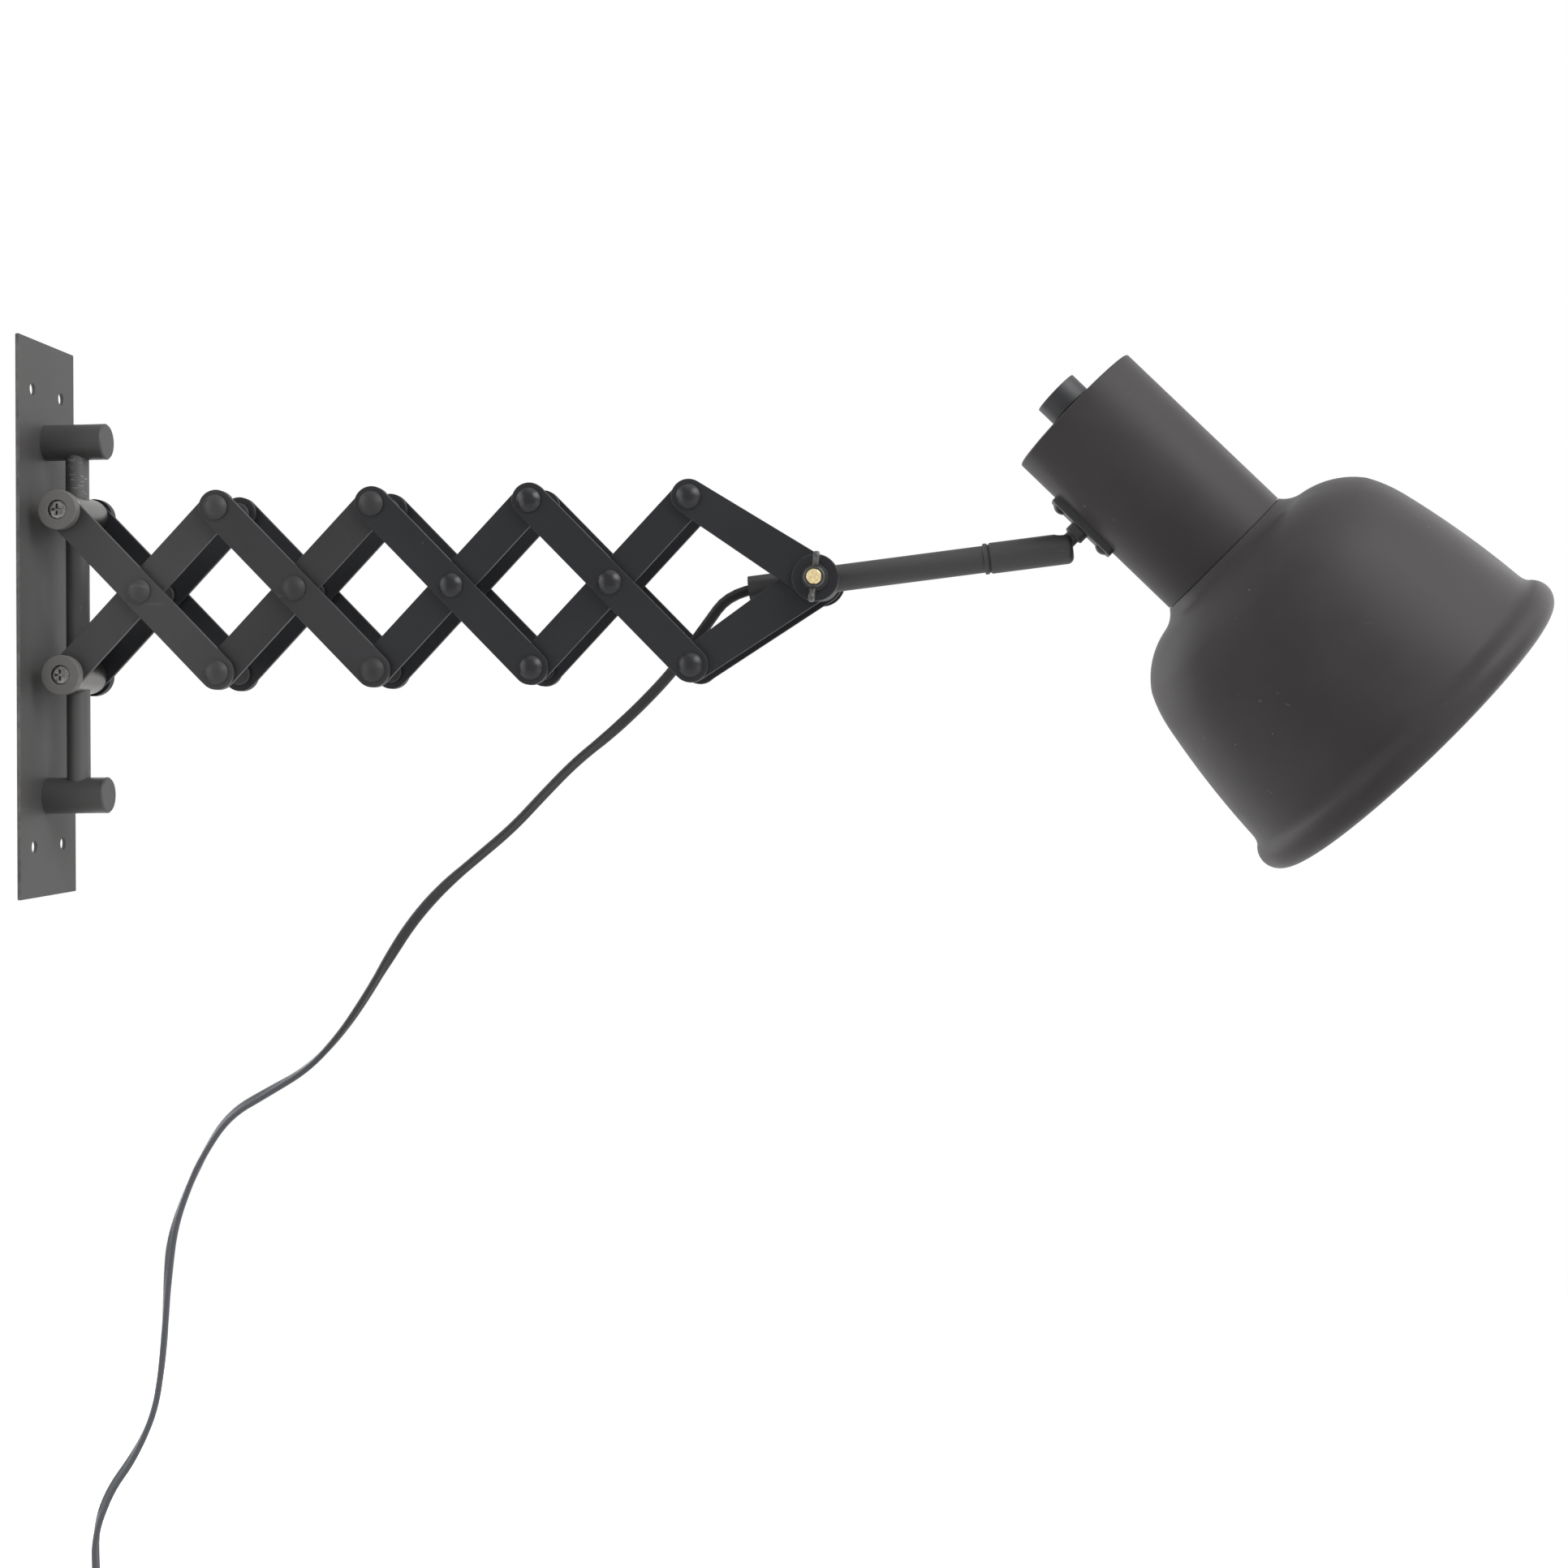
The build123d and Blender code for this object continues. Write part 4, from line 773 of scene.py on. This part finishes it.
def makeLattice(sideName, side):
    label, last = sideName.capitalize(), lattice["crosses"]
    inner, outer, small, eye = lattice["innerFace"], lattice["outerFace"], lattice["rivetHole"], lattice["clampEye"] / 2
    for i in range(1, last + 1):
        first = lattice["spigotHole"] if i == 1 else small
        # the far side's bars keep the darkest bar paint, as painted shade
        finish = barFinish[i] if side < 0 else "bar_paint"
        for way, start, end, near in (("falling", upperPivot(i - 1), lowerPivot(i), outer),
                                      ("rising", lowerPivot(i - 1), upperPivot(i), inner)):
            makeBar(f"{way}Bar{i}{label}", f"{way}_bar_{i}_{sideName}", start, end, side, near,
                    [(*start, first), (*middlePivot(i), small), (*end, small)], finish=finish)
    pivot, loose = (hubX, lattice["height"]), (hubX, lattice["height"] - lattice["looseDrop"])
    makeBar(f"upperEndBar{label}", f"upper_end_bar_{sideName}", upperPivot(last), pivot, side, outer,
            [(*upperPivot(last), small), (*pivot, small)], eye)
    makeBar(f"lowerEndBar{label}", f"lower_end_bar_{sideName}", lowerPivot(last), pivot, side, inner,
            [(*lowerPivot(last), small), (*loose, lattice["looseEye"])], eye)


makeLattice("front", -1)
makeLattice("rear", 1)

# domed rivets
rivetSpec = {"shank": 5.96, "head": 10.4, "headHeight": 2.6, "domeSteps": 12, "rim": 0.35, "rimInset": 0.02, "rimTuck": 0.1,
             "tail": 9.0, "tailHeight": 1.3, "tailEdge": 0.6, "play": 0.2, "sides": 48}


def makeRivets(name, node, places, fixedOuter, finish, spec):
    outerBack = lattice["outerFace"] + lattice["barThickness"]
    headBase = outerBack + (0 if fixedOuter else spec["play"])
    tailBase = lattice["innerFace"] - (spec["play"] if fixedOuter else 0)
    radius, height, shank = spec["head"] / 2, spec["headHeight"], spec["shank"] / 2
    tail, tailEnd = spec["tail"] / 2, tailBase - spec["tailHeight"]
    ballRadius = (radius ** 2 + height ** 2) / (2 * height)
    opening = math.asin(radius / ballRadius)
    angles = [opening * k / spec["domeSteps"] for k in range(spec["domeSteps"])]
    dome = [(headBase + height - ballRadius + ballRadius * math.cos(a), ballRadius * math.sin(a), 0.0) for a in angles]
    rim = [(headBase + spec["rim"], radius - spec["rimInset"], 0.0), (headBase, radius - spec["rimTuck"], 0.0)]
    shaft = [(headBase, shank, 0), (tailBase, shank, 0)]
    foot = roundCorners([(tailBase, tail, 0.0), (tailEnd, tail, spec["tailEdge"]), (tailEnd, 0.0, 0.0)])
    bm, mark = newMesh()
    for x, z in places:
        for side in (-1, 1):
            addTurned(bm, mark, (x * mm, 0, z * mm), (0, side, 0), dome + rim + shaft + foot, spec["sides"])
    makePiece(name, bm, [finish], node)


for i in range(1, lattice["crosses"] + 1):
    makeRivets(f"fallingRivets{i}", f"falling_rivets_{i}", [middlePivot(i), lowerPivot(i)], True, rivetFinish[i], rivetSpec)
    makeRivets(f"risingRivets{i}", f"rising_rivets_{i}", [upperPivot(i)], False, rivetFinish[i], rivetSpec)
print("lattice made")

# cap discs of the sleeves
capSpec = {"radius": 8.2, "spigot": 4.5, "recess": 4.0, "thread": 2.02, "thickness": 4.2, "floor": 2.0, "play": 0.2,
           "backEdge": 0.2, "edge": 0.55, "recessEdge": 0.25, "sides": 72,
           "coatReach": 0.3, "wallReach": 0.1, "floorReach": 1.0}  # where the painted shade in the recess begins


def makeCaps(name, node, place, near, spec):
    back, base = near - spec["play"], near + lattice["barThickness"] + spec["play"]
    end = base + spec["thickness"]
    floor, recess = end - spec["floor"], spec["recess"]
    profile = roundCorners([
        (back, spec["thread"], 0), (back, spec["spigot"], 0), (base, spec["spigot"], 0),
        (base, spec["radius"], spec["backEdge"]), (end, spec["radius"], spec["edge"]), (end, recess, spec["recessEdge"]),
        (floor, recess, 0), (floor, spec["thread"], 0)], True)

    def inShadedRecess(a, b):
        onWall = abs(a[1] - recess) < spec["wallReach"] and a[0] < end - spec["coatReach"]
        return onWall or (b[0] < end - spec["floorReach"] and b[1] < recess)

    # the recess faces take the dark bar paint, as painted shade
    hollow = [inShadedRecess(a, b) for a, b in zip(profile, profile[1:] + profile[:1])]
    bm, mark = newMesh()
    for side, shown in ((-1, 0), (1, 1)):  # the near caps take a lighter paint as painted light, the far caps the dark bar paint as painted shade
        slots = [1 if dark else shown for dark in hollow]
        addTurned(bm, mark, (place[0] * mm, 0, place[1] * mm), (0, side, 0), profile, spec["sides"], True, slots)
    makePiece(name, bm, ["lit_cap_paint", "bar_paint"], node)


makeCaps("upperCaps", "upper_caps", upperPivot(0), lattice["outerFace"], capSpec)
makeCaps("lowerCaps", "lower_caps", lowerPivot(0), lattice["innerFace"], capSpec)

# friction discs, stud and wing nut at the arm's pivot
discSpec = {"base": 16.7, "end": 19.3, "radius": 9.5, "bore": 3.05, "backEdge": 0.2, "edge": 0.55, "sides": 80}
studSpec = {"root": 6.0, "end": 26.9, "radius": 3.0, "threadPitch": 1.0, "threadDepth": 0.3, "plainTip": 1.2,
            "tipInset": (0.1, 0.15), "tipEdge": 0.6, "sides": 48}
nutSpec = {"base": 19.5, "end": 24.5, "radius": 4.8, "bore": 3.05, "sides": 56,
           "flange": 0.8, "flangeHeight": 1.6, "taper": 0.6, "edges": (0.3, 0.8, 0.5, 0.2),  # flange, waist, end and bore
           "wingThickness": 2.5, "wingEdge": 0.8, "wingLean": 7.5, "cornerCuts": 2, "cornerShare": 0.25,
           "wing": [(0.9, 3.7), (0.9, 4.9), (2.4, 8.2), (4.0, 9.9), (6.0, 10.3),  # out from the disc, off the axis
                    (7.6, 9.4), (7.9, 7.8), (6.0, 5.6), (4.7, 3.7)]}


def makeDiscs(spec):
    base, end, radius, bore = spec["base"], spec["end"], spec["radius"], spec["bore"]
    ring = roundCorners([
        (base, bore, 0), (base, radius, spec["backEdge"]), (end, radius, spec["edge"]), (end, bore, 0)], True)
    bm, mark = newMesh()
    for side in (-1, 1):
        addTurned(bm, mark, hub, (0, side, 0), ring, spec["sides"], True)
    makePiece("frictionDiscs", bm, ["bar_paint"], "friction_discs")


def makeStud(spec):
    radius, end = spec["radius"], spec["end"]
    profile = [(spec["root"], 0, 0), (spec["root"], radius, 0)]
    along = nutSpec["base"]  # the thread shows from the nut on
    while along < end - spec["plainTip"]:
        profile += [(along, radius, 0), (along + 0.5 * spec["threadPitch"], radius - spec["threadDepth"], 0)]
        along += spec["threadPitch"]
    neck, tip = (radius - inset for inset in spec["tipInset"])
    profile += roundCorners([(along, neck, 0), (end, tip, spec["tipEdge"]), (end, 0, 0)])
    bm, mark = newMesh()
    addTurned(bm, mark, hub, (0, -1, 0), profile, spec["sides"])
    makePiece("pivotStud", bm, ["brass_stud"], "pivot_stud")


def makeWingNut(spec):
    base, end, radius, bore = spec["base"], spec["end"], spec["radius"], spec["bore"]
    flangeEdge, waistEdge, endEdge, boreEdge = spec["edges"]
    waist = roundCorners([
        (base, bore, 0), (base, radius + spec["flange"], flangeEdge), (base + spec["flangeHeight"], radius, waistEdge),
        (end, radius - spec["taper"], endEdge), (end, bore, boreEdge)], True)
    bm, mark = newMesh()
    addTurned(bm, mark, hub, (0, -1, 0), waist, spec["sides"], True)
    wing, far = spec["wing"], spec["cornerShare"]
    for _ in range(spec["cornerCuts"]):  # cut the corners round
        wing = [((1 - far) * a + far * c, (1 - far) * b + far * d) for p, q in zip(wing, wing[1:] + wing[:1])
                for (a, b), (c, d) in ((p, q), (q, p))]
    rows = roundEdge(spec["wingThickness"], spec["wingEdge"])
    lean = Matrix.Rotation(math.radians(spec["wingLean"]), 3, "Y")
    middle = spec["wingThickness"] / 2 * mm
    for outline in (wing[::-1], [(a, -b) for a, b in wing]):
        addPlate(bm, mark, [(outline, rows)], lambda a, b, depth: hub + lean @ Vector((depth - middle, -base * mm - a, b)))
    makePiece("wingNut", bm, ["nut_paint"], "wing_nut")


makeDiscs(discSpec)
makeStud(studSpec)
makeWingNut(nutSpec)
print("pivots made")

# bell shade, dark outside and white inside
shadeSpec = {"neckLength": 83.2, "neckRadius": 30.45, "neckWall": 1.5, "seat": 0.1, "wall": 1.4, "seam": 0.3, "collar": 8.0,
             "flareLift": 0.2, "flare": (5.15, 38.4), "flareBow": 0.1, "flareIn": (0.95, -0.3),
             "shoulder": (25.3, 63.3), "shoulderSwell": (10.4, 51.15), "swellIn": (0.87, -0.5), "shoulderIn": 0.5,
             "cone": (91.1, 72.75), "coneSwell": 69.55, "lip": 77.15, "lipEnd": 104.8, "lipBack": 0.1, "lipDrop": 1.1,
             "lipEdge": 1.55, "rimBow": (0.5, 0.3), "creaseReach": 2.4, "shoulderReach": 6.0, "sides": 160, "sharp": 28.0,
             "steps": {"flare": 8, "shoulder": 18, "cone": 16, "lip": 18, "rim": 6}}


def softenCrease(points, crease, reach, steps=6):  # a hollow curve in place of a sharp inner corner
    near = [i for i, p in enumerate(points) if (Vector(p[:2]) - Vector(crease)).length < reach]
    before, after = Vector(points[near[0] - 1][:2]), Vector(points[near[-1] + 1][:2])
    curve = []
    for k in range(1, steps):
        t = k / steps
        spot = before * (1 - t) ** 2 + Vector(crease) * 2 * t * (1 - t) + after * t ** 2
        curve.append((spot.x, spot.y, 0.0))
    return points[:near[0]] + curve + points[near[-1] + 1:]


def makeShade(spec):
    start, wall, steps = spec["neckLength"], spec["wall"], spec["steps"]
    collar, collarEnd = spec["neckRadius"] - spec["neckWall"] - spec["seat"], start - spec["collar"]
    top, innerTop = start + spec["seam"], start + spec["seam"] + wall

    def below(key):  # a point of the profile, measured from the neck's end
        return Vector((start + spec[key][0], spec[key][1]))

    flareStart, flareEnd = Vector((top, spec["neckRadius"] + spec["flareLift"])), below("flare")
    flareRun = flareEnd - flareStart
    flareSide = Vector((flareRun.y, -flareRun.x))
    flareMiddle = (flareStart + flareEnd) / 2 + flareSide * spec["flareBow"]
    flareInside = flareMiddle + flareSide.normalized() * wall
    flareInnerEnd = flareEnd + Vector(spec["flareIn"]) * wall
    swell = below("shoulderSwell")
    shoulder = (start + spec["shoulder"][0], spec["shoulder"][1])
    cone = (start + spec["cone"][0], spec["cone"][1])
    swellAt = start + (spec["shoulder"][0] + spec["cone"][0]) / 2
    shoulderInside = (shoulder[0] + spec["shoulderIn"], shoulder[1] - wall)
    lipEnd = start + spec["lipEnd"]
    lipSwell = ((cone[0] + lipEnd) / 2 - spec["lipBack"], spec["lip"])
    edgeRadius, innerLip = cone[1] - spec["lipDrop"], cone[1] - 2 * wall
    rimMiddle = (lipEnd - spec["rimBow"][0], (edgeRadius + innerLip) / 2 - spec["rimBow"][1])
    outside = [(innerTop, collar - wall, 0), (collarEnd, collar - wall, 0), (collarEnd, collar, 0), (top, collar, 0)]
    outside += arcThrough(flareStart, flareMiddle, flareEnd, steps["flare"])
    outside += arcThrough(flareEnd, swell, shoulder, steps["shoulder"])[1:]
    outside += arcThrough(shoulder, (swellAt, spec["coneSwell"]), cone, steps["cone"])[1:]
    outside += arcThrough(cone, lipSwell, (lipEnd, edgeRadius), steps["lip"])[1:]
    outside = softenCrease(softenCrease(outside, cone, spec["creaseReach"]), shoulder, spec["shoulderReach"])
    rim = arcThrough((lipEnd, edgeRadius), rimMiddle, (lipEnd - spec["lipEdge"], innerLip), steps["rim"])[1:]
    inside = arcThrough((cone[0], cone[1] - wall), (swellAt, spec["coneSwell"] - wall), shoulderInside, steps["cone"])
    inside += arcThrough(shoulderInside, swell + Vector(spec["swellIn"]) * wall, flareInnerEnd, steps["shoulder"])[1:]
    inside += arcThrough(flareInnerEnd, flareInside, (innerTop, spec["neckRadius"]), steps["flare"])[1:]
    slots = [0] * (len(outside) + len(rim) - 2) + [1] * (len(inside) + 2)
    bm, mark = newMesh()
    addTurned(bm, mark, capCentre, neckWay, outside + rim + inside, spec["sides"], True, slots)
    makePiece("bellShade", bm, ["head_paint", "shade_enamel"], "shade", spec["sharp"])


makeShade(shadeSpec)

# switch knob and lampholder on the neck's axis, measured from its cap
knobSpec = {"stand": 1.8, "height": 8.6, "radius": 9.7, "stem": 4.7, "stemTip": 13.5, "sides": 72,
            "edges": (0.3, 0.2, 0.25, 0.3)}  # stem tip, stem root, back and front
holderSpec = {"boxStart": 17.5, "boxRadius": 9.0, "boxEdge": 0.6, "start": 29.0, "end": 79.0, "radius": 20.0, "backEdge": 2.4,
              "frontEdge": 1.2, "bore": 13.25, "boreDepth": 24.0, "boreWall": 0.9, "boreEdge": 0.6, "sides": 72,
              "bracketAt": 55.0, "bracketRadius": 28.95, "bracket": 2.0, "bracketRoot": 0.3, "bracketEdge": 0.4,
              "threads": 6, "threadSteps": 8, "threadStart": 1.2, "threadEnds": 3.0, "threadMiddle": 0.42, "threadDepth": 0.4,
              "threadBack": 0.86, "contactSides": 36,
              "contact": [(-0.2, 0, 0), (-0.2, 4.6, 0), (1.4, 4.6, 0.6), (2.6, 2.6, 0.8), (2.6, 0, 0)]}


def makeKnob(spec):
    stand, radius, stem = -spec["stand"], spec["radius"], spec["stem"]
    end = stand - spec["height"]
    tipEdge, rootEdge, backEdge, frontEdge = spec["edges"]
    profile = roundCorners([
        (spec["stemTip"], 0, 0), (spec["stemTip"], stem, tipEdge), (stand, stem, rootEdge),
        (stand, radius, backEdge), (end, radius, frontEdge), (end, 0, 0)])
    bm, mark = newMesh()
    addTurned(bm, mark, capCentre, neckWay, profile, spec["sides"])
    makePiece("switchKnob", bm, ["black_plastic"], "switch_knob")


def makeLampholder(spec):
    boxStart, box, boxEdge = spec["boxStart"], spec["boxRadius"], spec["boxEdge"]
    start, end, radius = spec["start"], spec["end"], spec["radius"]
    bracketStart, bracketEnd, bracket = spec["bracketAt"], spec["bracketAt"] + spec["bracket"], spec["bracketRadius"]
    floor, bore = end - spec["boreDepth"], spec["bore"] + spec["boreWall"]
    body = roundCorners([
        (boxStart, 0, 0), (boxStart, box, boxEdge), (start, box, boxEdge), (start, radius, spec["backEdge"]),
        (bracketStart, radius, spec["bracketRoot"]), (bracketStart, bracket, spec["bracketEdge"]),
        (bracketEnd, bracket, spec["bracketEdge"]), (bracketEnd, radius, spec["bracketRoot"]),
        (end, radius, spec["frontEdge"]), (end, bore, spec["boreEdge"]), (floor, bore, 0), (floor, 0, 0)])
    pitch, steps = (spec["boreDepth"] - spec["threadEnds"]) / spec["threads"], spec["threadSteps"]
    middle, back = spec["bore"] + spec["threadMiddle"], spec["bore"] + spec["threadBack"]
    shell = [(floor + spec["threadStart"] + k / steps * pitch,
              middle + spec["threadDepth"] * math.cos(fullTurn * k / steps), 0)
             for k in range(steps * spec["threads"] + 1)]  # rolled thread of the bulb shell
    shell += [(shell[-1][0], back, 0), (shell[0][0], back, 0)]
    contact = roundCorners([(floor + along, size, edge) for along, size, edge in spec["contact"]])
    bm, mark = newMesh()
    addTurned(bm, mark, capCentre, neckWay, body, spec["sides"])
    addTurned(bm, mark, capCentre, neckWay, shell, spec["sides"], True, [1] * len(shell))
    addTurned(bm, mark, capCentre, neckWay, contact, spec["contactSides"], faceSlots=[1] * len(contact))
    makePiece("lampholderBody", bm, ["holder_plastic", "brass_stud"], "lampholder")


makeKnob(knobSpec)
makeLampholder(holderSpec)
print("head made")

# pieces whose solids are right keep them, with their own finish
nodeFinish = {"arm_tube": "tube_paint", "ball_socket": "tube_paint", "ball_stud": "tube_paint", "saddle": "tube_paint",
              "guide_rod": "rod_paint", "upper_sleeve_screws": "dark_zinc", "lower_sleeve_screws": "dark_zinc"}
for node, part in frame["nodes"].items():
    if part.hide_render:
        continue
    for holder in part.material_slots:
        holder.material = finishes[nodeFinish.get(node, slotOf[node])]

# pale floor, white to the camera, soft lamps
stageSpec = {"floorZ": -0.60, "size": 2.6, "floorGlow": 0.68, "pale": (0.80, 0.80, 0.79), "floorRough": 0.8, "world": 0.22,
             "lamps": [  # place, aim, width and height, watts
                 ((0.45, -0.20, 1.30), (0.33, 0.0, -0.02), (1.2, 1.0), 3.8),
                 ((1.30, -0.25, 0.75), (0.45, 0.0, 0.0), (0.9, 0.9), 6.5),
                 ((1.15, -0.70, 0.90), (0.40, 0.0, 0.0), (0.8, 0.8), 12.5),
                 ((1.55, -0.62, 0.10), (0.35, 0.0, 0.0), (0.9, 1.8), 4.5),
                 ((1.30, 0.70, 0.10), (0.40, 0.0, 0.0), (1.0, 1.4), 4.2),
                 ((1.15, -0.50, -0.45), (0.45, 0.0, 0.0), (0.8, 0.6), 1.0),
                 ((-0.80, -0.60, 0.0), (0.30, 0.0, 0.0), (0.8, 1.4), 6.0),
                 ((-0.75, -0.10, 0.40), (0.40, 0.0, 0.0), (0.8, 0.8), 3.0),
                 ((-0.70, 0.70, 0.0), (0.20, 0.0, 0.0), (1.0, 1.4), 12.0),
             ]}


def seenAsWhite(tree):  # 1 where the ray is the camera's, or a mirror or glass ray
    path = tree.nodes.new("ShaderNodeLightPath").outputs
    seen = mathNode(tree, "MAXIMUM", path["Is Camera Ray"], path["Is Glossy Ray"])
    return mathNode(tree, "MAXIMUM", seen, path["Is Transmission Ray"])


def makeWorld(spec):
    world = bpy.data.worlds.new("paleRoom")
    scene.world = world
    world.use_nodes = True
    tree = world.node_tree
    background = tree.nodes["Background"]
    background.inputs["Color"].default_value = (1, 1, 1, 1)
    strength = addNode(tree, "ShaderNodeMapRange", {"To Min": spec["world"], "To Max": 1.0}, {"Value": seenAsWhite(tree)})
    tree.links.new(strength.outputs["Result"], background.inputs["Strength"])


def makeFloor(spec):
    bm = bmesh.new()
    half = spec["size"] / 2
    corners = ((-half, -half), (half, -half), (half, half), (-half, half))
    bm.faces.new([bm.verts.new((x, y, spec["floorZ"])) for x, y in corners])
    mesh = bpy.data.meshes.new("paleFloor")
    bm.to_mesh(mesh)
    bm.free()
    material = bpy.data.materials.new("paleFloor")
    material.use_nodes = True
    tree = material.node_tree
    pale = tree.nodes["Principled BSDF"]
    pale.inputs["Base Color"].default_value = (*spec["pale"], 1)
    pale.inputs["Roughness"].default_value = spec["floorRough"]
    strength = mathNode(tree, "MULTIPLY", seenAsWhite(tree), spec["floorGlow"])
    glow = addNode(tree, "ShaderNodeEmission", {}, {"Strength": strength})
    both = addNode(tree, "ShaderNodeAddShader", {}, {0: pale.outputs[0], 1: glow.outputs[0]})
    under = tree.nodes.new("ShaderNodeNewGeometry").outputs["Backfacing"]
    clear = tree.nodes.new("ShaderNodeBsdfTransparent").outputs[0]  # seen through from below
    shown = addNode(tree, "ShaderNodeMixShader", {}, {0: under, 1: both.outputs[0], 2: clear})
    tree.links.new(shown.outputs[0], tree.nodes["Material Output"].inputs["Surface"])
    mesh.materials.append(material)
    addObject("paleFloor", mesh)


def makeLamps(spec):
    for index, (spot, aim, size, watts) in enumerate(spec["lamps"]):
        lamp = bpy.data.lights.new(f"softLamp{index + 1}", "AREA")
        lamp.shape = "RECTANGLE"
        lamp.size, lamp.size_y = size
        lamp.energy = watts
        holder = addObject(lamp.name, lamp)
        holder.location = spot
        holder.rotation_euler = (Vector(aim) - Vector(spot)).to_track_quat("-Z", "Y").to_euler()


makeWorld(stageSpec)
makeFloor(stageSpec)
makeLamps(stageSpec)
scene.view_settings.view_transform = "Standard"
print("stage set")
